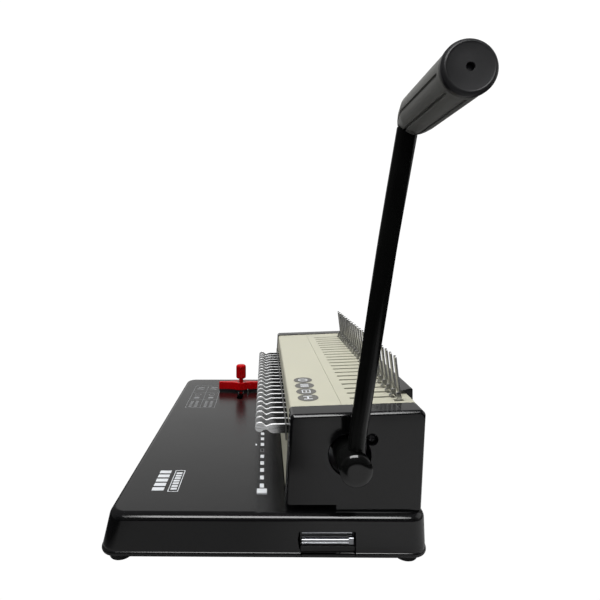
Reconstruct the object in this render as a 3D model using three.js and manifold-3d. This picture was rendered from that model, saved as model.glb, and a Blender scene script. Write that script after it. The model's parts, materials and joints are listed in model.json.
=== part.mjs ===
// Plastic-comb binding machine: a desktop punch and comb opener for A4 sheets.
// Millimetres, +Z up, +Y towards the rear, +X towards the operator's right (the lever side).
// The desk is z = 0. A span is a pair [low, high] along one axis.
import * as THREE from 'three';
import { mergeVertices } from 'three/addons/utils/BufferGeometryUtils.js';
import Module from 'manifold-3d';

// ---------------------------------------------------------------- driving dimensions
const MACHINE_CENTRE_X = 70.5;     // middle of the whole machine's width, lever included
const GAP = 0.3;                   // running gap between neighbours
const PITCH = 14.2875;             // standard spacing of the comb holes
const STATIONS = 21;               // holes on an A4 edge
const FIRST_X = 148;               // rightmost station
const STATIONS_MID_X = FIRST_X - PITCH * (STATIONS - 1) / 2;

const BASE = { halfX: 194, front: -132.9, rear: 130.2, rimZ: 7.4, topZ: 39.5, wall: 3 };
const DECK = { halfX: 166.5, frontY: 20, frontZ: 114.8, slope: 0.04, rear: 127.2, thick: 1.5 };
const CAP = { inner: 167, outer: 187, wall: 3, bevel: 1.8 };
const CAP_SCREW = { y: 85.8, z: 96.5 };

const PIVOT = { y: 67.8, z: 83.7 };  // lever shaft axis, along X
const SHAFT_RADIUS = 6;
const BUSHING_RADIUS = 9;
const LEVER_TURN = THREE.MathUtils.degToRad(80);
const CAM = { radius: 16, stroke: 9, turn: THREE.MathUtils.degToRad(85) };
const GEAR = { module: 2, teeth: 24, pressureAngle: Math.PI / 9 };
const GEAR_PITCH_RADIUS = GEAR.module * GEAR.teeth / 2;

const RAIL_Z = 109.8;              // top edge of the side frames
const CARRIAGE_Z = [RAIL_Z + 0.4, RAIL_Z + 2.8];
const PIN = { y: 46, width: 8, depth: 3, tip: 45.5, clearance: 0.2 };
const RAM = { bottom: 60, lugTop: PIVOT.z - CAM.radius - GAP };
const EAR = { x: 158.2, thick: 1.6 };  // end ears of the tine plate
const EAR_CENTRES = [EAR.x, 2 * STATIONS_MID_X - EAR.x];

// ---------------------------------------------------------------- solids
const wasm = await Module();
wasm.setup();

const around = (centre, half) => [centre - half, centre + half];
const inset = ([low, high], amount) => [low + amount, high - amount];
const unite = (solids) => solids.reduce((total, next) => total.add(next));
const mirrorX = (manifold) => manifold.mirror([1, 0, 0]);

function solid(geometry) {
  const bare = geometry.clone();
  for (const name of Object.keys(bare.attributes)) {
    if (name !== 'position') bare.deleteAttribute(name);
  }
  const merged = mergeVertices(bare, 1e-4);
  const index = merged.index.array;
  const triVerts = [];
  for (let i = 0; i < index.length; i += 3) {
    const [a, b, c] = [index[i], index[i + 1], index[i + 2]];
    if (a !== b && b !== c && c !== a) triVerts.push(a, b, c);
  }
  return new wasm.Manifold(new wasm.Mesh({
    numProp: 3,
    vertProperties: new Float32Array(merged.attributes.position.array),
    triVerts: new Uint32Array(triVerts),
  }));
}

function indexedGeometry(positions, index) {
  const geometry = new THREE.BufferGeometry();
  geometry.setAttribute('position', new THREE.BufferAttribute(new Float32Array(positions), 3));
  geometry.setIndex(new THREE.BufferAttribute(new Uint32Array(index), 1));
  return geometry;
}

function extrude(outline, options) {
  const shape = new THREE.Shape(outline.map(([x, y]) => new THREE.Vector2(x, y)));
  return new THREE.ExtrudeGeometry(shape, { bevelEnabled: false, ...options });
}

// outline in (Y, Z), swept along X
const OUTLINE_TO_YZ = new THREE.Matrix4().makeBasis(
  new THREE.Vector3(0, 1, 0), new THREE.Vector3(0, 0, 1), new THREE.Vector3(1, 0, 0));
function prismX(outline, [start, end], options = {}) {
  const geometry = extrude(outline, { depth: end - start, ...options });
  return solid(geometry.applyMatrix4(OUTLINE_TO_YZ).translate(start, 0, 0));
}

// outline in (X, Z), swept along Y
function prismY(outline, [start, end]) {
  const geometry = extrude(outline, { depth: end - start });
  return solid(geometry.rotateX(Math.PI / 2).translate(0, end, 0));
}

// outline in (X, Y), swept along Z
function prismZ(outline, [start, end]) {
  return solid(extrude(outline, { depth: end - start }).translate(0, 0, start));
}

function box(...spans) {
  const geometry = new THREE.BoxGeometry(...spans.map(([low, high]) => high - low));
  return solid(geometry.translate(...spans.map(([low, high]) => (low + high) / 2)));
}

// cylinder or cone along X; endRadius is at the +X end
function cylX(radius, [start, end], axis, sides = 24, endRadius = radius) {
  const geometry = new THREE.CylinderGeometry(endRadius, radius, end - start, sides);
  geometry.rotateZ(-Math.PI / 2);
  return solid(geometry.translate((start + end) / 2, axis.y, axis.z));
}

function cylZ(radius, [start, end], x, y, sides = 24) {
  const geometry = new THREE.CylinderGeometry(radius, radius, end - start, sides);
  return solid(geometry.rotateX(Math.PI / 2).translate(x, y, (start + end) / 2));
}

// profile of (radius, height) turned about a vertical axis
function lathe(profile, x, y, sides = 24) {
  const points = profile.map(([radius, height]) => new THREE.Vector2(radius, height));
  const geometry = new THREE.LatheGeometry(points, sides);
  return solid(geometry.rotateX(Math.PI / 2).translate(x, y, 0));
}

// rounded rectangle, anticlockwise from above
function roundedRect([left, right], [front, rear], radius) {
  const steps = 5;
  const corners = [
    [right - radius, front + radius, -90], [right - radius, rear - radius, 0],
    [left + radius, rear - radius, 90], [left + radius, front + radius, 180],
  ];
  return corners.flatMap(([x, y, startAngle]) => Array.from({ length: steps + 1 }, (_, i) => {
    const angle = THREE.MathUtils.degToRad(startAngle + 90 * i / steps);
    return [x + radius * Math.cos(angle), y + radius * Math.sin(angle)];
  }));
}

// closed skin through rings of (x, y, z) points, each ring with the same count
function skin(rings) {
  const count = rings[0].length;
  const index = [];
  for (let k = 0; k + 1 < rings.length; k++) {
    for (let i = 0; i < count; i++) {
      const here = k * count + i;
      const next = k * count + (i + 1) % count;
      index.push(here, next, next + count, here, next + count, here + count);
    }
  }
  const last = (rings.length - 1) * count;
  for (let i = 1; i + 1 < count; i++) {
    index.push(0, i + 1, i, last, last + i, last + i + 1);
  }
  return solid(indexedGeometry(rings.flat(2), index));
}

// round bar along a polyline, each ring held square to the path
function sweep(path, radius) {
  const sides = 20;
  const points = path.map((point) => new THREE.Vector3(...point));
  return skin(points.map((centre, k) => {
    const before = points[Math.max(k - 1, 0)];
    const after = points[Math.min(k + 1, points.length - 1)];
    const along = after.clone().sub(before).normalize();
    const across = new THREE.Vector3(1, 0, 0).addScaledVector(along, -along.x).normalize();
    const third = along.clone().cross(across);
    return Array.from({ length: sides }, (_, i) => {
      const angle = 2 * Math.PI * i / sides;
      return centre.clone().addScaledVector(across, radius * Math.cos(angle))
        .addScaledVector(third, radius * Math.sin(angle)).toArray();
    });
  }));
}

const eachStation = (make) =>
  Array.from({ length: STATIONS }, (_, k) => make(FIRST_X - PITCH * k, k));

// ---------------------------------------------------------------- scene graph
const group = new THREE.Group();
const machine = new THREE.Group();
machine.position.set(-MACHINE_CENTRE_X, 0, 0);
group.add(machine);

const MATERIALS = {
  gloss_black: { color: 0x0b0b0c, roughness: 0.18, metalness: 0 },
  satin_black: { color: 0x2a2a2a, roughness: 0.42, metalness: 0 },
  ivory: { color: 0xdedcc8, roughness: 0.45, metalness: 0.1 },
  steel: { color: 0xb9bbbd, roughness: 0.32, metalness: 1 },
  chrome: { color: 0xd7d9dc, roughness: 0.12, metalness: 1 },
  dark_steel: { color: 0x6c6e70, roughness: 0.45, metalness: 1 },
  brass: { color: 0xb08d4a, roughness: 0.35, metalness: 1 },
  rubber: { color: 0x161616, roughness: 0.8, metalness: 0 },
  red: { color: 0xc4121c, roughness: 0.25, metalness: 0 },
};

function add(name, manifold, material) {
  const { vertProperties, triVerts } = manifold.getMesh();
  const mesh = new THREE.Mesh(indexedGeometry(vertProperties, triVerts),
    new THREE.MeshStandardMaterial(MATERIALS[material]));
  mesh.name = name;
  machine.add(mesh);
}

// a right-hand piece and its mirror image
function addPair(name, manifold, material) {
  add(`${name}_right`, manifold, material);
  add(`${name}_left`, mirrorX(manifold), material);
}

// ---------------------------------------------------------------- base
const THROUGH_TOP = [30, 45];      // z span of cutters through the base's top
const TABLE_SLOT = { left: -155, right: -88, y: -36, width: 8.4 };

function baseSkin(wall, levels) {
  return skin(levels.map(([z, side, front, rear, radius]) => roundedRect(
    around(0, BASE.halfX - side - wall),
    [BASE.front + front + wall, BASE.rear - rear - wall],
    radius - wall,
  ).map(([x, y]) => [x, y, z])));
}
// columns: z, inset of the sides, of the front, of the rear, corner radius
const outerSkin = baseSkin(0, [
  [BASE.rimZ, 0, 0, 0, 14], [35.8, 3.6, 6.4, 0.9, 14], [37.6, 4.1, 7.0, 1.2, 13.7],
  [38.8, 5.2, 8.0, 2.0, 13], [BASE.topZ, 7.0, 9.6, 3.4, 12],
]);
const innerSkin = baseSkin(BASE.wall, [
  [BASE.rimZ - 1, 0, 0, 0, 14], [35.6, 3.6, 6.4, 0.9, 14], [36.5, 4.6, 7.6, 1.7, 13.6],
]);
const chassisWell = box([-164.8, 164.8], [32.4, 121], THROUGH_TOP);
const trayWindow = box([180, 200], [27.6, 71], [9.3, 27.3]);

const slotRadius = TABLE_SLOT.width / 2;
const slotCentres = inset([TABLE_SLOT.left, TABLE_SLOT.right], slotRadius);
const tableSlot = unite([
  box(slotCentres, around(TABLE_SLOT.y, slotRadius), THROUGH_TOP),
  ...slotCentres.map((x) => cylZ(slotRadius, THROUGH_TOP, x, TABLE_SLOT.y)),
]);
add('base_shell', outerSkin.subtract(innerSkin).subtract(chassisWell).subtract(trayWindow)
  .subtract(tableSlot), 'gloss_black');

// ---------------------------------------------------------------- bottom plate and feet
const FOOT = { radius: 9, height: 7.6, stem: 2, x: 177.5, y: 117 };
const FEET = [
  ['front_left', -FOOT.x, -FOOT.y], ['front_right', FOOT.x, -FOOT.y],
  ['rear_left', -FOOT.x, FOOT.y], ['rear_right', FOOT.x, FOOT.y],
];
const footHoles = unite(FEET.map(([, x, y]) => cylZ(2.4, [7, 10], x, y, 16)));
add('bottom_plate', prismZ(roundedRect([-190.1, 190.1], [-128.6, 126.5], 11.4), [7.9, 9.2])
  .subtract(footHoles), 'dark_steel');

const FOOT_PROFILE = [
  [0, 0], [7.6, 0], [8.4, 0.8], [FOOT.radius, FOOT.height - 1], [FOOT.radius, FOOT.height],
  [FOOT.stem, FOOT.height], [FOOT.stem, 11], [0, 11],
];
for (const [place, x, y] of FEET) add(`foot_${place}`, lathe(FOOT_PROFILE, x, y, 16), 'rubber');

// ---------------------------------------------------------------- chip tray
// It slides out to the right; its end face carries a rib along Y.
const TRAY = { x: [-150, 188], y: [28.5, 70.2], floor: 10, rim: 26.6, wall: 1.5 };
const trayBody = box(TRAY.x, TRAY.y, [TRAY.floor, TRAY.rim]).subtract(
  box(inset(TRAY.x, TRAY.wall), inset(TRAY.y, TRAY.wall), [TRAY.floor + TRAY.wall, 30]));
// columns: x, z
const TRAY_END_OUTLINE = [
  [187, 9.7], [193.1, 9.7], [192.8, 14.5], [189.2, 15], [190.6, 15.6], [191.7, 16.9],
  [192, 18.3], [191.5, 19.7], [190.4, 20.5], [189, 20.8], [188.8, 25.3], [191.8, 25.7],
  [191.8, 26.9], [187, 26.9],
];
const trayEnd = prismY(TRAY_END_OUTLINE, [28, 70.6])
  .add(box([188, 191.6], [66.6, 70.6], [15, 21.4]));
add('chip_tray', trayBody.add(trayEnd), 'gloss_black');

// ---------------------------------------------------------------- edge guide
const GUIDE_X = -128;
const guideBore = cylZ(3.4, [30, 60], GUIDE_X, TABLE_SLOT.y);
// columns: x from the guide's centre, y
const GUIDE_PLAN = [
  [-2.2, -69], [2.2, -69], [5.6, -46], [8.6, -39], [8.6, -33], [5.6, -26], [2.2, -3],
  [-2.2, -3], [-5.6, -26], [-8.6, -33], [-8.6, -39], [-5.6, -46],
];
add('edge_guide', prismZ(GUIDE_PLAN.map(([x, y]) => [x + GUIDE_X, y]), [42.2, 53])
  .add(cylZ(6, [39.9, 42.6], GUIDE_X, TABLE_SLOT.y))
  .subtract(guideBore), 'red');

// columns: radius, z
const KNOB_PROFILE = [
  [0, 32], [3, 32], [3, 57.4], [5.6, 58.2], [7.3, 60.2], [7.3, 75.8], [6.5, 77.7],
  [4.6, 78.4], [0, 78.6],
];
add('guide_knob', lathe(KNOB_PROFILE, GUIDE_X, TABLE_SLOT.y), 'red');

add('guide_clamp', box(around(GUIDE_X, 12), around(TABLE_SLOT.y, 8), [33, 36.1])
  .subtract(guideBore), 'steel');

// ---------------------------------------------------------------- deck and its front panel
const SEAM_Y = 65;                 // front edge of the opening for the slot plate
const PANEL_BOTTOM = 46;
const THROUGH_DECK = [100, 130];   // z span of cutters through the deck
const DECK_SPAN = around(0, DECK.halfX);
const deckZ = (y) => DECK.frontZ + DECK.slope * (y - DECK.frontY);
const panelY = (z) => 16.9 + 0.0583 * (z - BASE.topZ);

const deckSheet = prismX([
  [panelY(PANEL_BOTTOM), PANEL_BOTTOM], [panelY(110), 110], [panelY(112.6) + 0.2, 112.6],
  [22.0, 114.1], [23.6, deckZ(23.6)], [DECK.rear, deckZ(DECK.rear)],
  [DECK.rear, deckZ(DECK.rear) - DECK.thick], [24.0, deckZ(24) - DECK.thick], [22.9, 112.3],
  [panelY(110) + DECK.thick, 110], [panelY(PANEL_BOTTOM) + DECK.thick, PANEL_BOTTOM],
], DECK_SPAN);
const plateOpening = box([-159.3, 200], [SEAM_Y + 0.05, 140], THROUGH_DECK);
const selectorWindow = box([-150, 160], [10, 30], [84.2, 98.4]);
add('deck_cover', deckSheet.subtract(plateOpening).subtract(selectorWindow), 'ivory');

// ---------------------------------------------------------------- slot plate
// Each slot runs along Y and ends in a wider notch at the rear.
const SLOT = { width: 2.7, y: [75, 112], notchWidth: 6.6, notchY: [110.8, 115.2] };
const plateFront = SEAM_Y + 0.4;
const plateSheet = prismX([
  [plateFront, deckZ(plateFront)], [plateFront, deckZ(plateFront) - DECK.thick],
  [DECK.rear, deckZ(DECK.rear) - DECK.thick], [DECK.rear, deckZ(DECK.rear)],
], [-158.9, DECK.halfX]);
const plateCuts = unite([
  ...eachStation((x) => box(around(x, SLOT.width / 2), SLOT.y, THROUGH_DECK)
    .add(box(around(x, SLOT.notchWidth / 2), SLOT.notchY, THROUGH_DECK))),
  box([-149.4, 159.6], [115.8, 118.9], THROUGH_DECK),  // for the tine plate
  ...EAR_CENTRES.map((x) => box(around(x, 2.4), [111.4, 119.6], THROUGH_DECK)),
]);
add('slot_plate', plateSheet.subtract(plateCuts), 'ivory');

// ---------------------------------------------------------------- rear cover
// outlines in columns y, z
const REAR_WALL = [[121.6, 39.8], [123.8, 39.8], [126.9, 117], [124.7, 117]];
const REAR_LEDGE = [
  [122.3, 119.5], [127.6, 119.7], [127.6, 116.8], [125.8, 116.4], [125.4, 104], [132.9, 111],
  [132.9, 123.6], [132.2, 124.4], [131, 124.5], [122.3, 121.8],
];
add('rear_cover', prismX(REAR_WALL, DECK_SPAN).add(prismX(REAR_LEDGE, [-137, 142])),
  'gloss_black');

// ---------------------------------------------------------------- end caps
// outlines in columns y, z
const CAP_OUTLINE = [
  [16.75, 43.8], [55.6, 43.8], [55.6, 39.8], [125.2, 39.8], [129.2, 114.6], [128.5, 117.4],
  [126.8, 119.1], [124.4, 119.6], [25.4, 116.0], [22.9, 115.5], [21.1, 113.9], [20.5, 111.2],
];
const CAP_CAVITY = [
  [20.6, 46.8], [58.6, 46.8], [58.6, 42.8], [122.2, 42.8], [126.0, 115.0], [124.0, 116.4],
  [25.4, 112.9], [23.8, 111.2],
];
const capScrewBore = cylX(2.4, [150, 185], CAP_SCREW, 12);

// Bevelled block, trimmed flat at its inner face and hollowed, with a boss for the screw.
function endCap() {
  const block = prismX(CAP_OUTLINE, [CAP.inner - 8, CAP.outer - CAP.bevel], {
    bevelEnabled: true,
    bevelThickness: CAP.bevel,
    bevelSize: CAP.bevel,
    bevelOffset: -CAP.bevel,
    bevelSegments: 2,
  }).subtract(box([100, CAP.inner], [0, 150], [0, 150]));
  return block.subtract(prismX(CAP_CAVITY, [CAP.inner - 1, CAP.outer - CAP.wall]))
    .add(cylX(6.4, [CAP.inner + 0.1, CAP.outer - CAP.wall + 0.5], CAP_SCREW, 20))
    .subtract(cylX(4.5, [182, 190], CAP_SCREW, 20))
    .subtract(capScrewBore);
}
const hubOpening = cylX(16.9, [175, 190], PIVOT, 40);
add('end_cap_right', endCap().subtract(hubOpening), 'gloss_black');
add('end_cap_left', mirrorX(endCap()), 'gloss_black');

// cross-headed screw
const screwCross = [[0.6, 3], [3, 0.6]].map(([halfY, halfZ]) =>
  box([183.8, 186], around(CAP_SCREW.y, halfY), around(CAP_SCREW.z, halfZ)));
addPair('cap_screw', cylX(2, [159.6, 182.5], CAP_SCREW, 12)
  .add(cylX(3.9, [182.3, 184.6], CAP_SCREW, 16, 3.2))
  .subtract(unite(screwCross)), 'dark_steel');

// ---------------------------------------------------------------- chassis
// columns: y, z
const FRAME_OUTLINE = [
  [33, 30], [117, 30], [117, RAIL_Z], [26, RAIL_Z], [26, 44.8], [51, 44.8], [51, 38.9],
  [33, 38.9],
];
const springTab = box([150.5, 161.5], [32, 40], [100.4, 102.2]);
addPair('side_frame', prismX(FRAME_OUTLINE, [161.2, 164.2])
  .subtract(cylX(BUSHING_RADIUS + GAP, [150, 170], PIVOT, 28))
  .subtract(capScrewBore)
  .add(springTab), 'steel');

const pinBox = (x, clearance, zSpan) => box(around(x, PIN.width / 2 + clearance),
  around(PIN.y, PIN.depth / 2 + clearance), zSpan);
const punchHoles = unite(eachStation((x) => pinBox(x, PIN.clearance, [30, 55])));
const CROSS_SPAN = [-160.8, 160.8];  // x span of the plates between the frames
const PUNCH_PLATE_Y = [33, 62];
add('die_plate', box(CROSS_SPAN, PUNCH_PLATE_Y, [33, 39.2]).subtract(punchHoles), 'steel');
add('pin_guide', box(CROSS_SPAN, PUNCH_PLATE_Y, [44.5, 50]).subtract(punchHoles), 'steel');
add('throat_spacer', box(CROSS_SPAN, [51.5, 61], [39.5, 44.2]), 'steel');

addPair('bushing', cylX(BUSHING_RADIUS, [159, 164.8], PIVOT)
  .add(cylX(12, [164.5, 166.6], PIVOT))
  .subtract(cylX(6.35, [150, 170], PIVOT)), 'brass');

// ---------------------------------------------------------------- punch ram
const lug = box([148, 158.4], [31.5, 71], [RAM.bottom, RAM.lugTop]);
add('punch_ram', unite([
  box([-149, 149], [41, 51], [RAM.bottom, 78]), lug, mirrorX(lug),
  ...eachStation((x) => pinBox(x, 0, [PIN.tip, RAM.bottom + 1])),
]), 'dark_steel');

// ---------------------------------------------------------------- selectors
// flat pulls with a curled front end; columns: y, z
const SELECTOR_OUTLINE = [
  [38, 84.6], [38, 96.2], [33, 96.2], [33, 94.4], [7.4, 94.4], [5.2, 94.1], [3.4, 93.3],
  [1.8, 92.8], [0.3, 93.1], [-1.3, 94.3], [-3, 95.6], [-5.2, 95.8], [-7.2, 94.9],
  [-8.4, 93.2], [-8.8, 91], [-8.2, 89.3], [-6.8, 87.8], [-5, 87.2], [-3.2, 87.7],
  [-1.4, 89], [0.6, 89.5], [2.6, 88.8], [4.6, 87.1], [7.4, 86.4], [33, 86.4], [33, 84.6],
];
eachStation((x, k) => add(`selector_${String(k + 1).padStart(2, '0')}`,
  prismX(SELECTOR_OUTLINE, around(x, 1.25)), 'chrome'));
add('selector_retainer', box([-149.6, 159.6], [17.7, 18.7], [84.4, 98.2])
  .subtract(unite(eachStation((x) => box(around(x, 1.6), [17, 20], [85.9, 94.9])))), 'steel');

// ---------------------------------------------------------------- return springs
const SPRING = {
  x: 154.5, y: 36, bottom: RAM.lugTop + 0.9, top: 99.5,
  radius: 3.2, wireRadius: 0.5, turns: 6, stepsPerTurn: 8,
};
const WIRE_SIDES = 4;

// Both springs wind the same way, so the left one is not a mirror image.
function returnSpring(centreX) {
  const steps = SPRING.turns * SPRING.stepsPerTurn;
  const path = new THREE.CatmullRomCurve3(Array.from({ length: steps + 1 }, (_, i) => {
    const angle = 2 * Math.PI * SPRING.turns * i / steps;
    return new THREE.Vector3(
      centreX + SPRING.radius * Math.cos(angle),
      SPRING.y + SPRING.radius * Math.sin(angle),
      SPRING.bottom + (SPRING.top - SPRING.bottom) * i / steps);
  }));
  const wire = Array.from({ length: WIRE_SIDES }, (_, i) => {
    const angle = 2 * Math.PI * i / WIRE_SIDES;
    return [SPRING.wireRadius * Math.cos(angle), SPRING.wireRadius * Math.sin(angle)];
  });
  return solid(extrude(wire, { steps, extrudePath: path }));
}
add('return_spring_right', returnSpring(SPRING.x), 'steel');
add('return_spring_left', returnSpring(-SPRING.x), 'steel');

// ---------------------------------------------------------------- shaft and cams
add('drive_shaft', cylX(SHAFT_RADIUS, [-169.5, 205], PIVOT), 'steel');
// bore of the right-hand cam and gear, ending blind inside the lever hub
const shaftBore = cylX(SHAFT_RADIUS + GAP, [130, 206], PIVOT);
const ontoPivot = (outline) => outline.map(([y, z]) => [y + PIVOT.y, z + PIVOT.z]);

// anticlockwise convex hull of points in a plane
function hull(points) {
  const sorted = [...points].sort((a, b) => a[0] - b[0] || a[1] - b[1]);
  const turn = (from, mid, to) =>
    (mid[0] - from[0]) * (to[1] - from[1]) - (mid[1] - from[1]) * (to[0] - from[0]);
  const halfHull = (list) => {
    const chain = [];
    for (const point of list) {
      while (chain.length > 1 && turn(chain.at(-2), chain.at(-1), point) <= 1e-9) chain.pop();
      chain.push(point);
    }
    chain.pop();
    return chain;
  };
  return [...halfHull(sorted), ...halfHull(sorted.reverse())];
}

// Cam whose reach in the downward direction grows in step with the lever's turn.
function punchCam() {
  const rate = CAM.stroke / LEVER_TURN;
  const points = [];
  for (let i = 0; i <= 14; i++) {
    const angle = CAM.turn * i / 14;
    const reach = CAM.radius + rate * angle;
    points.push([
      -reach * Math.sin(angle) - rate * Math.cos(angle),
      -reach * Math.cos(angle) + rate * Math.sin(angle),
    ]);
  }
  for (let i = 0; i < 36; i++) {
    const angle = i * Math.PI / 18;
    points.push([CAM.radius * Math.cos(angle), CAM.radius * Math.sin(angle)]);
  }
  return prismX(ontoPivot(hull(points)), [150.6, 157.4]).subtract(shaftBore);
}
addPair('punch_cam', punchCam(), 'dark_steel');

// ---------------------------------------------------------------- opener gears
// Part gear with involute flanks; one tooth points straight up at rest.
function openerGear() {
  const baseRadius = GEAR_PITCH_RADIUS * Math.cos(GEAR.pressureAngle);
  const tipRadius = GEAR_PITCH_RADIUS + GEAR.module - 0.1;
  const rootRadius = GEAR_PITCH_RADIUS - 2.6;
  const hubRadius = 11;
  const involute = (radius) => {
    const angle = Math.acos(baseRadius / radius);
    return Math.tan(angle) - angle;
  };
  const toothWidth = Math.PI * GEAR.module / 2 - GAP;
  const baseHalfAngle = toothWidth / 2 / GEAR_PITCH_RADIUS + involute(GEAR_PITCH_RADIUS);
  const halfAngle = (radius) => baseHalfAngle - involute(Math.max(radius, baseRadius));
  const polar = (radius, angle) => [radius * Math.cos(angle), radius * Math.sin(angle)];

  const flankRadii = [rootRadius, baseRadius, 23.4, 24.4, 25.2, tipRadius];
  const points = [];
  for (let i = 7; i >= -1; i--) {
    const centre = Math.PI / 2 - i * 2 * Math.PI / GEAR.teeth;
    for (const radius of flankRadii) points.push(polar(radius, centre - halfAngle(radius)));
    for (const radius of flankRadii.toReversed()) {
      points.push(polar(radius, centre + halfAngle(radius)));
    }
  }
  points.push(polar(hubRadius, Math.PI - 0.4));
  for (let i = 0; i <= 6; i++) {
    points.push(polar(hubRadius, Math.PI + (i / 6) * (Math.PI / 2 + 0.25)));
  }
  return prismX(ontoPivot(points), [140, 146]).subtract(shaftBore);
}
addPair('opener_gear', openerGear(), 'dark_steel');

// ---------------------------------------------------------------- hook carriage
// rack with its teeth pointing down onto the opener gear
function rackArm() {
  const [root, top] = CARRIAGE_Z;
  const toothPitch = Math.PI * GEAR.module;
  const pitchZ = PIVOT.z + GEAR_PITCH_RADIUS;
  const half = (toothPitch / 2 - GAP) / 2;
  const slope = Math.tan(GEAR.pressureAngle);
  const halfRoot = half + slope * (root - pitchZ);
  const halfTip = half - slope * GEAR.module;
  const tipZ = pitchZ - GEAR.module;
  const points = [[59.6, top], [59.6, root]];
  for (let j = -1; j <= 6; j++) {
    const y = PIVOT.y + toothPitch / 2 + toothPitch * j;
    points.push([y - halfRoot, root], [y - halfTip, tipZ], [y + halfTip, tipZ],
      [y + halfRoot, root]);
  }
  points.push([111.5, root], [111.5, top]);
  return prismX(points, [139.5, 146.5]);
}
// columns: y, z
const HOOK_OUTLINE = [
  [109.8, 111.5], [113.2, 111.5], [113.2, 121.2], [115.4, 122.2], [116, 123.9],
  [115.3, 125.5], [113.7, 126.1], [112.1, 125.4], [111.4, 123.8], [111.4, 121.6],
  [109.8, 119.8],
];
add('hook_carriage', unite([
  box([-164.3, 164.3], [104, 114.2], CARRIAGE_Z), rackArm(), mirrorX(rackArm()),
  ...eachStation((x) => prismX(HOOK_OUTLINE, around(x, 1))),
]), 'steel');

// ---------------------------------------------------------------- tine plate
// Upright fingers that hold the comb's spine: one sheet leaning forward, with an ear
// at each end. Its mid-plane passes through (midY, midZ).
const TINE = {
  lean: 0.115, thick: 1.6, left: -148.8, right: 159,
  bottom: 100, strip: 112, tip: 156.5, midY: 117.2, midZ: 118.6,
};
function tineSheet() {
  const stretch = Math.hypot(1, TINE.lean);
  const stripTop = (TINE.strip - TINE.bottom) * stretch;
  const tip = (TINE.tip - TINE.bottom) * stretch;
  const outline = [[TINE.left, 0], [TINE.right, 0], [TINE.right, stripTop]];
  for (let k = 0; k <= STATIONS; k++) {
    const x = FIRST_X + PITCH / 2 - PITCH * k;
    outline.push([x + 2.6, stripTop], [x + 2.6, tip - 3], [x + 1.4, tip], [x - 1.4, tip],
      [x - 2.6, tip - 3], [x - 2.6, stripTop]);
  }
  outline.push([TINE.left, stripTop]);
  const along = new THREE.Vector3(1, 0, 0);
  const upward = new THREE.Vector3(0, -TINE.lean / stretch, 1 / stretch);
  const forward = along.clone().cross(upward);
  const rearY = TINE.midY + TINE.lean * (TINE.midZ - TINE.bottom) + TINE.thick / 2;
  return solid(extrude(outline, { depth: TINE.thick })
    .applyMatrix4(new THREE.Matrix4().makeBasis(along, upward, forward))
    .translate(0, rearY, TINE.bottom));
}
// columns: y, z
const EAR_OUTLINE = [
  [119.5, 104], [119.5, 110], [118.2, 113], [118, 121], [117.6, 123.4], [116.6, 125.3],
  [115, 125.8], [113.5, 124.9], [112.9, 123], [113.4, 121], [113.9, 118.6], [115.3, 113.8],
  [117, 104],
];
add('tine_plate', unite([
  tineSheet(), ...EAR_CENTRES.map((x) => prismX(EAR_OUTLINE, around(x, EAR.thick / 2))),
]), 'steel');

// ---------------------------------------------------------------- lever
const HUB_RADIUS = 12.4;
// The arm stands upright on the hub, then leans back and outward; columns: x, y, z.
const ARM_PATH = [
  [199, 70.5, PIVOT.z], [203, 70.6, 102], [205.6, 71.2, 114], [209.3, 72.9, 131],
  [222, 78.3, 188], [233.4, 83.3, 240.5], [242.3, 87.7, 281.1], [252.8, 93.2, 328.2],
];
add('lever_hub', cylX(HUB_RADIUS, [176, 214], PIVOT, 32)
  .add(cylX(HUB_RADIUS, [214, 215.5], PIVOT, 32, 11.2))
  .subtract(shaftBore), 'gloss_black');
add('lever_arm', sweep(ARM_PATH, 6.85)
  .subtract(cylX(HUB_RADIUS + GAP, [170, 230], PIVOT, 32)), 'gloss_black');

// ---------------------------------------------------------------- grip
// fluted handle along X with a rounded nose at its left end
const GRIP = { y: 96.4, z: 332.6, end: 335, capRadius: 13.8 };
const NOSE = { x: 258, shift: 0.3 };
const NECK = { x: 270, shift: -0.75 };
// columns: x, radius, groove depth
const GRIP_RINGS = [
  [238.2, 4.0, 0], [239.0, 5.4, 0], [241.2, 6.9, 0], [244.5, 8.2, 0], [248.5, 9.3, 0.1],
  [252.5, 10.3, 0.4], [256, 11.2, 0.8], [260, 11.8, 1], [265, 12.4, 1.1], [270, 12.95, 1.1],
  [GRIP.end - 30, 13.2, 1.1], [GRIP.end - 8, 13.4, 1.1], [GRIP.end - 4.6, 13.3, 0.3],
];

// offset of a ring's centre along Y
function gripShift(x) {
  const { mapLinear } = THREE.MathUtils;
  if (x < NOSE.x) return NOSE.shift;
  if (x < NECK.x) return mapLinear(x, NOSE.x, NECK.x, NOSE.shift, NECK.shift);
  return mapLinear(x, NECK.x, GRIP.end, NECK.shift, 0);
}

// every fourth point of a ring sinks into a groove
function gripRing([x, radius, groove]) {
  return Array.from({ length: 32 }, (_, i) => {
    const angle = 2 * Math.PI * i / 32;
    const reach = i % 4 === 0 ? radius - groove : radius;
    const y = GRIP.y + gripShift(x) + reach * Math.cos(angle);
    return [x, y, GRIP.z + reach * Math.sin(angle)];
  });
}
const armSocket = sweep([...ARM_PATH.slice(0, -1), [252.95, 93.25, 328.8]], 7.2);
add('lever_grip', skin(GRIP_RINGS.map(gripRing)).subtract(armSocket), 'satin_black');

const rimX = GRIP.end - 1.2;
add('grip_end_cap', cylX(GRIP.capRadius, [GRIP.end - 4.2, rimX], GRIP, 36)
  .add(cylX(GRIP.capRadius, [rimX, GRIP.end], GRIP, 36, 12.6))
  .subtract(cylX(2, [GRIP.end - 3, GRIP.end + 2], GRIP, 14)), 'satin_black');

export default group;
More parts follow.
